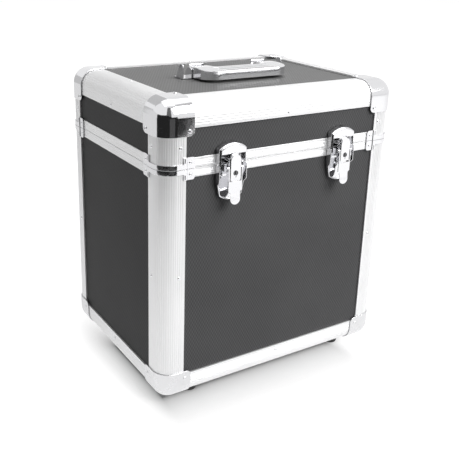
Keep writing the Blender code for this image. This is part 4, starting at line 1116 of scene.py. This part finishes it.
def base_plate():
    body = prism(base_outline(0), PLATE_BACK, PLATE_DEPTH, FRONT)
    hollow = prism(base_outline(WALL), PLATE_BACK + WALL, PLATE_DEPTH + OVERRUN, FRONT)
    past, bottom = PLATE_DEPTH + OVERRUN, -BASE_LOW - OVERRUN
    slope = [(past, BASE_SHOULDER), (PLATE_DEPTH, BASE_SHOULDER), (LOW_DEPTH, SLOPE_END),
             (LOW_DEPTH, bottom), (past, bottom)]
    body = cut(body, hollow, prism(slope, -BASE_HALF - OVERRUN, BASE_HALF + OVERRUN, SIDE))
    parts = [eased(body, 0.00045, 3)]
    low = LEVER_PIVOT[1] - 0.0052
    foot_y = PLATE_BACK + WALL / 2
    for sign in (-1, 1):
        line = arc(LEVER_PIVOT, LEVER_EYE, 90, -90, STEPS)
        line += [(LEVER_PIVOT[0] - LEVER_EYE, low), (foot_y, low), (foot_y, LEVER_EYE + LEVER_PIVOT[1])]
        parts.append(eased(prism(line, *sorted((-sign * EAR_IN, -sign * (EAR_IN + WALL))), SIDE), 0.0003))
        parts.append(cross_pin(sign, CHEEK_IN + 0.0003, EAR_IN + WALL + 0.0004, LEVER_PIVOT))
    return stacked(*parts)


print("plates:", len(catch_plate().polygons), len(base_plate().polygons), "faces")

# %% The lever, the hook and the lock
TAB_TOP = 0.0194
TAB_SIDE = 0.0310
TAB_SHOULDER = 0.0345
TAB_TIP = 0.0480
TAB_HALF = 0.0070
TAB_RISE = 0.0012
TAB_STEPS = 16
HOOK_LOW = -0.0172
HOOK_BACK = 0.0060
HOOK_ROUND = 0.0014
LOCK_Z = -0.0095


def lever():
    cheek = arc(LEVER_PIVOT, LEVER_EYE, 180, 0, STEPS) + [(LEVER_OUT, LEVER_PIVOT[1])]
    cheek += [(LEVER_OUT, -TAB_TOP - 2 * WALL), (LEVER_OUT - WALL, -TAB_TOP - 2 * WALL)]
    cheek += [(LEVER_PIVOT[0] - LEVER_EYE, HOOK_PIVOT[1])]
    outside = CHEEK_IN + WALL
    arms = [prism(cheek, *sorted((-sign * CHEEK_IN, -sign * outside)), SIDE) for sign in (-1, 1)]
    tab = [(outside, -TAB_TOP), (-outside, -TAB_TOP), (-outside, -TAB_SIDE)]
    tab += [(-TAB_HALF - (outside - TAB_HALF) * (1 - sin(radians(a))) ** 2,
             -TAB_SIDE - (TAB_SHOULDER - TAB_SIDE) * a / 90) for a in range(15, 91, 15)]
    right_side = [(-a, b) for a, b in tab[1:]]
    tab += arc((0, TAB_HALF - TAB_TIP), TAB_HALF, 180, 360, STEPS) + right_side[:0:-1]
    tab += [(outside, -TAB_SIDE)]
    shape = eased(joined(prism(tab, LEVER_OUT - WALL, LEVER_OUT, FRONT), *arms), 0.0003)
    edit = opened(shape)
    for step in range(TAB_STEPS):
        level = -TAB_SHOULDER - (TAB_TIP - TAB_SHOULDER) * step / TAB_STEPS
        bmesh.ops.bisect_plane(edit, geom=edit.verts[:] + edit.edges[:] + edit.faces[:],
                               plane_co=(0, 0, level), plane_no=(0, 0, 1))
    for vertex in edit.verts:
        share = max(0, -vertex.co.z - TAB_SHOULDER) / (TAB_TIP - TAB_SHOULDER)
        vertex.co.y -= TAB_RISE * share ** 2 * (3 - 2 * share)
    closed(edit, shape)
    pins = [cross_pin(sign, HOOK_HALF - WALL, outside + 0.0002, HOOK_PIVOT) for sign in (-1, 1)]
    return stacked(shape, *pins)


def hook_outline(shrink):
    half = HOOK_HALF - shrink
    low = HOOK_LOW if shrink == 0 else HOOK_LOW - OVERRUN
    return [(-half, low), (half, low)] + arc((0, HOOK_TOP - HOOK_HALF), half, 0, 180, STEPS)


def hook():
    reach, before, behind = HOOK_HALF + OVERRUN, -LEVER_OUT - OVERRUN, -LEVER_OUT + WALL + OVERRUN
    body = pressed(prism(hook_outline(0), HOOK_BACK, LEVER_OUT, FRONT), LEVER_OUT, HOOK_ROUND, HOOK_LOW)
    hollow = prism(hook_outline(WALL), HOOK_BACK - OVERRUN, LEVER_OUT - WALL, FRONT)
    above = box((-reach, -0.0085, SPLIT_GAP), (reach, -HOOK_BACK + OVERRUN, HOOK_TOP + OVERRUN))
    mouth = cylinder((0, before, LOCK_Z), (0, behind, LOCK_Z), 0.0033, 40)
    key_way = box((-0.0008, before, -0.0145), (0.0008, behind, LOCK_Z))
    claw = box((-0.0045, 0.0006 - LEVER_OUT, 0.0053), (0.0045, -0.0020, 0.0068))
    return stacked(eased(cut(body, hollow, above, mouth, key_way), 0.0003), eased(claw, 0.0003))


def lock_barrel():
    face = 0.0008 - LEVER_OUT
    plug = cylinder((0, face, LOCK_Z), (0, -0.0065, LOCK_Z), 0.0031, 40)
    slot = box((-0.00055, face - OVERRUN, LOCK_Z - 0.0021), (0.00055, face + 0.003, LOCK_Z + 0.0021))
    return eased(cut(plug, slot), 0.00015)


for build, body, finish in (
        (catch_plate, "lid", CHROME), (base_plate, "base", CHROME), (lever, "{}_lever", CHROME),
        (hook, "{}_hook", CHROME), (lock_barrel, "{}_lock", PLUG_STEEL)):
    kind, shape = build.__name__, build()
    for side, sx in TWO_SIDES:
        copy = placed(shape, Matrix.Translation((sx * LATCH_X, FRONT_Y, SPLIT_Z)))
        set_in(f"{side}_latch_{kind}", copy, body.format(side), finish, f"latch_{side}_{kind}")
    print(kind, len(shape.polygons), "faces")

# %% [markdown]
# ## Screws and rivets
# Dozens of alike fasteners hold the case together. Their places are points that know which way is out.
# A tree stands a copy of one head on every point and turns each about its own axis by chance, because
# nobody lines up the slots of screws.

# %% The heads
SUNK = (0, -0.0004)


def rivet_head(radius, height):
    hole = radius * 0.34
    return turned([SUNK, (radius, SUNK[1]), (radius, 0.0001), (radius * 0.93, height * 0.45),
                   (radius * 0.75, height * 0.80), (radius * 0.52, height), (hole * 1.1, height * 0.93),
                   (hole, height * 0.55), (0, height * 0.45)], 20)


def screw_head(radius, height):
    dome = turned([SUNK, (radius, SUNK[1]), (radius, 0.0003), (radius * 0.97, height * 0.45),
                   (radius * 0.82, height * 0.78), (radius * 0.55, height * 0.95), (0, height)], 28)
    long, wide = radius * 0.62, radius * 0.13
    arms = [box((-a, -b, height * 0.35), (a, b, height * 2)) for a, b in ((long, wide), (wide, long))]
    return baked(cut(bench(dome), joined(*arms)))


BAR_RIVET = rivet_head(0.0024, 0.0008)
BRACE_RIVET = rivet_head(0.0021, 0.0008)
PLATE_RIVET = rivet_head(0.0019, 0.0010)
CAP_SCREW = screw_head(0.0026, 0.0013)
print("heads:", len(BAR_RIVET.polygons), len(CAP_SCREW.polygons), "faces")

# %% The tree that stands heads on points
def fastener_tree():
    tree, given, add = geometry_tree("fasteners", Head="Object", Seed="Int", Finish="Material")
    aimed = add("FunctionNodeAlignRotationToVector", {"Vector": named(add, "out", "FLOAT_VECTOR")}, axis="Z")
    chance = add("FunctionNodeRandomValue", data_type="FLOAT").node
    low, high = [s for s in chance.inputs if s.type == "VALUE"][:2]
    low.default_value, high.default_value = 0.0, tau
    tree.links.new(given["Seed"], chance.inputs["Seed"])
    angle = [s for s in chance.outputs if s.type == "VALUE"][0]
    spin = add("FunctionNodeAxisAngleToRotation", {"Axis": (0, 0, 1), "Angle": angle})
    spun = add("FunctionNodeRotateRotation", {"Rotation": aimed, "Rotate By": spin}, rotation_space="LOCAL")
    head = add("GeometryNodeObjectInfo", {"Object": given["Head"]}, "Geometry")
    points = add("GeometryNodeMeshToPoints", {"Mesh": given["Geometry"]})
    copies = add("GeometryNodeInstanceOnPoints", {"Points": points, "Instance": head, "Rotation": spun})
    ended(add, copies, given["Finish"])
    return tree


FASTENERS = fastener_tree()


def fasten(name, body, finish, head, seed, places):
    """Heads at the given places, each a point and the way out of the surface there."""
    start = bpy.data.meshes.new("places")
    start.from_pydata([place for place, out in places], [], [])
    ways = start.attributes.new("out", "FLOAT_VECTOR", "POINT")
    ways.data.foreach_set("vector", [c for place, out in places for c in out])
    shape = bench(head)
    made = grown(FASTENERS, start, Head=shape, Seed=seed, Finish=finish)
    bpy.data.objects.remove(shape)
    set_in(name, made, body, finish)
    print(name, len(places), "heads")


# %% Where the fasteners go
CAP_FACE = CLEARANCE + CAP_WALL
BRACE_FACE = BRACE_WALL + CLEARANCE - RIM_RECESS
PLATE_FACE = -(PLATE_BACK + WALL)
CAP_SCREW_IN, CAP_SCREW_DROP = 0.0355, 0.035
TOP_SCREW_IN, TOP_RIVET_IN = 0.037, 0.029
LID_BAR_RIVET_DROP, BASE_BAR_RIVET_RISE = 0.027, 0.025
POST_RIVET_IN, LID_POST_RIVET_DROP, BASE_POST_RIVET_DROP = 0.0245, 0.054, 0.214
EAR_RIVET_IN, LID_EAR_RIVET_UP, BASE_EAR_RIVET_UP = 0.0372, 0.0072, -0.0068
PLATE_RIVET_X, CATCH_RIVET_UP, BASE_RIVET_UP = 0.0143, 0.0078, -0.0315
BOTTOM_RIVET_IN, BOTTOM_RIVET_RISE = 0.0334, 0.027


def round_corners(along, z, face=0):
    """Places on the two faces beside each corner: along from the edge, at a height, standing out by face."""
    found = []
    for corner, sy, sx in CORNERS:
        found.append((corner_place(sx, sy, z, along, -face), (0, sy, 0)))
        found.append((corner_place(sx, sy, z, -face, along), (sx, 0, 0)))
    return found


def mid_sides(z):
    found = [((0, CENTRE_Y + sy * HALF_DEPTH, z), (0, sy, 0)) for sy in (-1, 1)]
    return found + [((sx * SIDE_X, CENTRE_Y, z), (sx, 0, 0)) for sx in (-1, 1)]


def plate_rivets(z):
    return [((sx * LATCH_X + dx, FRONT_Y + PLATE_FACE, SPLIT_Z + z), (0, -1, 0))
            for sx in (-1, 1) for dx in (-PLATE_RIVET_X, PLATE_RIVET_X)]


cap_screws = round_corners(CAP_SCREW_IN, TOP_Z - CAP_SCREW_DROP, CAP_FACE)
cap_screws += [(corner_place(sx, sy, TOP_Z + CAP_FACE, TOP_SCREW_IN, TOP_SCREW_IN), (0, 0, 1))
               for corner, sy, sx in CORNERS]
lid_rivets = mid_sides(TOP_Z - LID_BAR_RIVET_DROP)
lid_rivets += round_corners(POST_RIVET_IN, TOP_Z - LID_POST_RIVET_DROP)
lid_rivets += [((sx * (SIDE_X - TOP_RIVET_IN), CENTRE_Y, TOP_Z), (0, 0, 1)) for sx in (-1, 1)]
lid_rivets += [((0, CENTRE_Y + sy * (HALF_DEPTH - TOP_RIVET_IN), TOP_Z), (0, 0, 1)) for sy in (-1, 1)]
base_rivets = mid_sides(BOTTOM_Z + BASE_BAR_RIVET_RISE)
base_rivets += round_corners(POST_RIVET_IN, TOP_Z - BASE_POST_RIVET_DROP)
lid_ears, base_ears = [round_corners(EAR_RIVET_IN, SPLIT_Z + up, BRACE_FACE)
                       for up in (LID_EAR_RIVET_UP, BASE_EAR_RIVET_UP)]
bottom_rivets = round_corners(BOTTOM_RIVET_IN, BOTTOM_Z + BOTTOM_RIVET_RISE, CAP_FACE)
for group in (
        ("top_cap_screws", "lid", CHROME, CAP_SCREW, 3, cap_screws),
        ("lid_bar_rivets", "lid", CHROME, BAR_RIVET, 5, lid_rivets),
        ("lid_brace_rivets", "lid", CHROME, BRACE_RIVET, 7, lid_ears),
        ("base_bar_rivets", "base", CHROME, BAR_RIVET, 11, base_rivets),
        ("base_brace_rivets", "base", CHROME, BRACE_RIVET, 13, base_ears),
        ("catch_plate_rivets", "lid", CHROME, PLATE_RIVET, 19, plate_rivets(CATCH_RIVET_UP)),
        ("base_plate_rivets", "base", CHROME, PLATE_RIVET, 19, plate_rivets(BASE_RIVET_UP)),
        ("bottom_cap_rivets", "base", STEEL, BAR_RIVET, 17, bottom_rivets)):
    fasten(*group)

# %% [markdown]
# ## The studio
# The photograph is a cut-out on white. The floor glows white for the camera, and is grey only in a zone
# round the case that is set off-centre and shaped like the case's shadow: a painted shadow, which the
# lamps' real shadow darkens further. The world shows white wherever the camera or a mirror looks past
# the floor. One large soft lamp stands in front on the right, and a weaker one hangs overhead.

# %% Floor and world
FLOOR_REACH = 6
FLOOR_GREY = 0.36
# The zone where the camera sees no glow is a painted shadow. These numbers give its centre, half size and
# spread, shaped like the case's shadow.
SHADOW_CENTRE = (-0.026, CENTRE_Y - 0.042, 0)
SHADOW_HALF = (SIDE_X - 0.039, HALF_DEPTH - 0.062, 0)
SHADOW_SPREAD = (1, 0.36, 0)
GLOW_FULL = 0.045
GLOW_CURVE = 0.50
MIRRORED_GLOW = 0.85
WORLD_LIGHT = 0.10


def emptied(made):
    """A material or world with its tree emptied, and a way to add nodes to it."""
    made.use_nodes = True
    made.node_tree.nodes.clear()
    return made, adder(made.node_tree)


def floor_finish():
    """Matte grey with a glow that only the camera and mirrors see. The camera's glow is none in a zone
    shaped like the case's shadow, a painted shadow, and full further out.
    """
    made, add = emptied(bpy.data.materials.new("studio_floor"))
    centred = vectored(add, "SUBTRACT", placed_by(add), SHADOW_CENTRE)
    past = vectored(add, "SUBTRACT", vectored(add, "ABSOLUTE", centred), SHADOW_HALF)
    spread = vectored(add, "MULTIPLY", vectored(add, "MAXIMUM", past), SHADOW_SPREAD)
    distance = vectored(add, "LENGTH", spread, out="Value")
    rise = mathed(add, "POWER", ramped(add, distance, 0, 1, 0, GLOW_FULL), GLOW_CURVE)
    path = add("ShaderNodeLightPath").node.outputs
    mirrored = mathed(add, "MAXIMUM", path["Is Glossy Ray"], path["Is Transmission Ray"])
    seen = mathed(add, "MAXIMUM", mathed(add, "MULTIPLY", rise, path["Is Camera Ray"]),
                  mathed(add, "MULTIPLY", mirrored, MIRRORED_GLOW))
    matte = add("ShaderNodeBsdfDiffuse", {"Color": (FLOOR_GREY, FLOOR_GREY, FLOOR_GREY, 1)})
    both = add("ShaderNodeAddShader", {0: matte, 1: add("ShaderNodeEmission", {"Strength": seen})})
    add("ShaderNodeOutputMaterial", {"Surface": both})
    return made


def sheet(name, corners, finish):
    """A flat sheet between the corners."""
    mesh = bpy.data.meshes.new(name)
    mesh.from_pydata(corners, [], [range(len(corners))])
    mesh.materials.append(finish)
    made = bench(mesh, name)
    return made


def white_world():
    world, add = emptied(bpy.data.worlds.new("white_studio"))
    path = add("ShaderNodeLightPath").node.outputs
    mirrors = mathed(add, "ADD", path["Is Glossy Ray"], path["Is Transmission Ray"])
    seen = ramped(add, mathed(add, "ADD", path["Is Camera Ray"], mirrors), WORLD_LIGHT, 1.0)
    sky = add("ShaderNodeBackground", {"Color": (1, 1, 1, 1), "Strength": seen})
    add("ShaderNodeOutputWorld", {"Surface": sky})
    return world


ways = ((-1, -1), (1, -1), (1, 1), (-1, 1))
sheet("studio_floor", [(FLOOR_REACH * x, FLOOR_REACH * y, 0) for x, y in ways], floor_finish())
bpy.context.scene.world = white_world()
print("world light", WORLD_LIGHT)

# %% Lamps
CASE_MIDDLE = Vector((0, CENTRE_Y, BODY_HEIGHT / 2))
for name, place, size, power in (("key_lamp", (0.9, -1.9, 1.9), (2.0, 1.7), 71),
                                 ("top_lamp", (0.1, 0.3, 2.4), (2.2, 2.2), 12)):
    lamp = bpy.data.lights.new(name, "AREA")
    lamp.shape = "RECTANGLE"
    lamp.size, lamp.size_y = size
    lamp.energy = power
    aim = (CASE_MIDDLE - Vector(place)).to_track_quat("-Z", "Y").to_matrix().to_4x4()
    bench(lamp, name).matrix_world = Matrix.Translation(place) @ aim
    print(name, power, "W")

# %% [markdown]
# The surroundings that the chrome mirrors are sheets which only mirrors see, because chrome among plain
# white looks like white paint. In front of the case the studio is dark: a sheet lies on the floor and
# low walls close the horizon. A grey screen stands behind the camera, pale paper and pale walls are on
# the left, a bright field is at the back on the right, and light grey clouds hang overhead.

# %% Sheets for the mirrors
TONES = {"dark": 0.02, "dim": 0.085, "grey": 0.16, "cloud": 0.62, "pale": 0.84, "bright": 0.95}
MIRRORED_FROM = Vector((-0.150, -0.125, 0.37))
ON_FLOOR = 0.01
WALL_AWAY = 2.9
SCREEN_AWAY = 2.7


def sheet_finish(name, value):
    made, add = emptied(bpy.data.materials.new(name))
    glow = add("ShaderNodeEmission", {"Color": (value, value, value, 1)})
    add("ShaderNodeOutputMaterial", {"Surface": glow})
    return made


SHEET_FINISHES = {tone: sheet_finish(f"{tone}_sheet", value) for tone, value in TONES.items()}


def mirror_sheet(name, corners, tone):
    """A sheet that neither the camera nor soft light meets."""
    made = sheet(name, corners, SHEET_FINISHES[tone])
    for ray in ("camera", "diffuse", "shadow", "transmission", "volume_scatter"):
        setattr(made, f"visible_{ray}", False)


def toward(azimuth, distance, elevation=None, z=ON_FLOOR):
    """The point that the near top cap sees in a direction, on the floor if no elevation is given."""
    turn = radians(azimuth)
    if elevation is not None:
        z = MIRRORED_FROM.z + distance * tan(radians(elevation))
    return (MIRRORED_FROM.x + distance * cos(turn), MIRRORED_FROM.y + distance * sin(turn), z)


dark_edge = [(x, y, ON_FLOOR) for x, y in ((0.20, -0.90), (0.38, -1.17), (0.47, -1.17), (0.76, -1.55),
                                           (1.00, -2.03))]
dark_edge += [toward(*way) for way in ((296, 3.6), (250, 4.5), (200, 4.5), (166, 3.5), (166, 0.95),
                                       (200, 0.85), (240, 0.85))]
mirror_sheet("dark_floor_sheet", dark_edge, "dark")
dim_edge = [toward(*way, z=0.012) for way in ((248, 0.95), (280, 0.95), (280, 3.5), (248, 3.5))]
mirror_sheet("dim_floor_strip", dim_edge, "dim")
pale_edge = [(-0.35, 3.0, ON_FLOOR), (-3.5, 3.0, ON_FLOOR), toward(166, 3.5), toward(166, 0.95)]
mirror_sheet("pale_floor_sheet", pale_edge + [(-0.50, 0.0, ON_FLOOR), (-0.35, 0.3, ON_FLOOR)], "pale")
for name, tone, start, end, low, high in (
        ("low_wall_left", "dark", 168, 200, -7, 11), ("low_wall_middle", "dark", 200, 258, -7, 12),
        ("low_wall_right", "dark", 258, 296, -7, 2), ("grey_screen", "grey", 229, 258, 8, 62),
        ("pale_wall", "pale", 119, 168, -9, 12), ("cloud_wall_left", "cloud", 96, 119, -9, 12),
        ("bright_back_field", "bright", 25, 66, 6, 36), ("cloud_back_left", "cloud", 70, 118, 22, 60),
        ("cloud_overhead_front", "cloud", 262, 300, 52, 63),
        ("cloud_overhead_right", "cloud", 300, 345, 50, 63),
        ("cloud_overhead_back", "cloud", -15, 14, 50, 63)):
    away = SCREEN_AWAY if name == "grey_screen" else WALL_AWAY
    mirror_sheet(name, [toward(*way) for way in ((start, away, low), (end, away, low), (end, away, high),
                                                 (start, away, high))], tone)
print("sheets for the mirrors are up")

# %% [markdown]
# ## The camera
# The camera stands in front of the case on the left, a little above it. Its place, turn and lens were
# found by laying the straight edges of the case over the same edges in the picture. The small shift
# is there because the picture isn't centred on the lens.

# %% Camera
RIGHT = (0.84745, -0.53024, 0.02611)
UP = (0.14497, 0.27843, 0.94946)
BACK = (-0.51071, -0.80082, 0.31282)
EYE_AT = (-0.5336, -0.8057, 0.5502)
LENS, SENSOR = 56.46, 36
SHIFT = (0.0299, -0.1031)
camera_data = bpy.data.cameras.new("camera")
camera_data.sensor_width = SENSOR
camera_data.lens = LENS
camera_data.shift_x, camera_data.shift_y = SHIFT
camera = bench(camera_data, "camera")
rows = [(*row, place) for row, place in zip(zip(RIGHT, UP, BACK), EYE_AT)]
camera.matrix_world = Matrix([*rows, (0, 0, 0, 1)])
bpy.context.scene.camera = camera
bpy.context.scene.view_settings.view_transform = "Standard"
print("camera at", EYE_AT, "with a lens of", LENS)
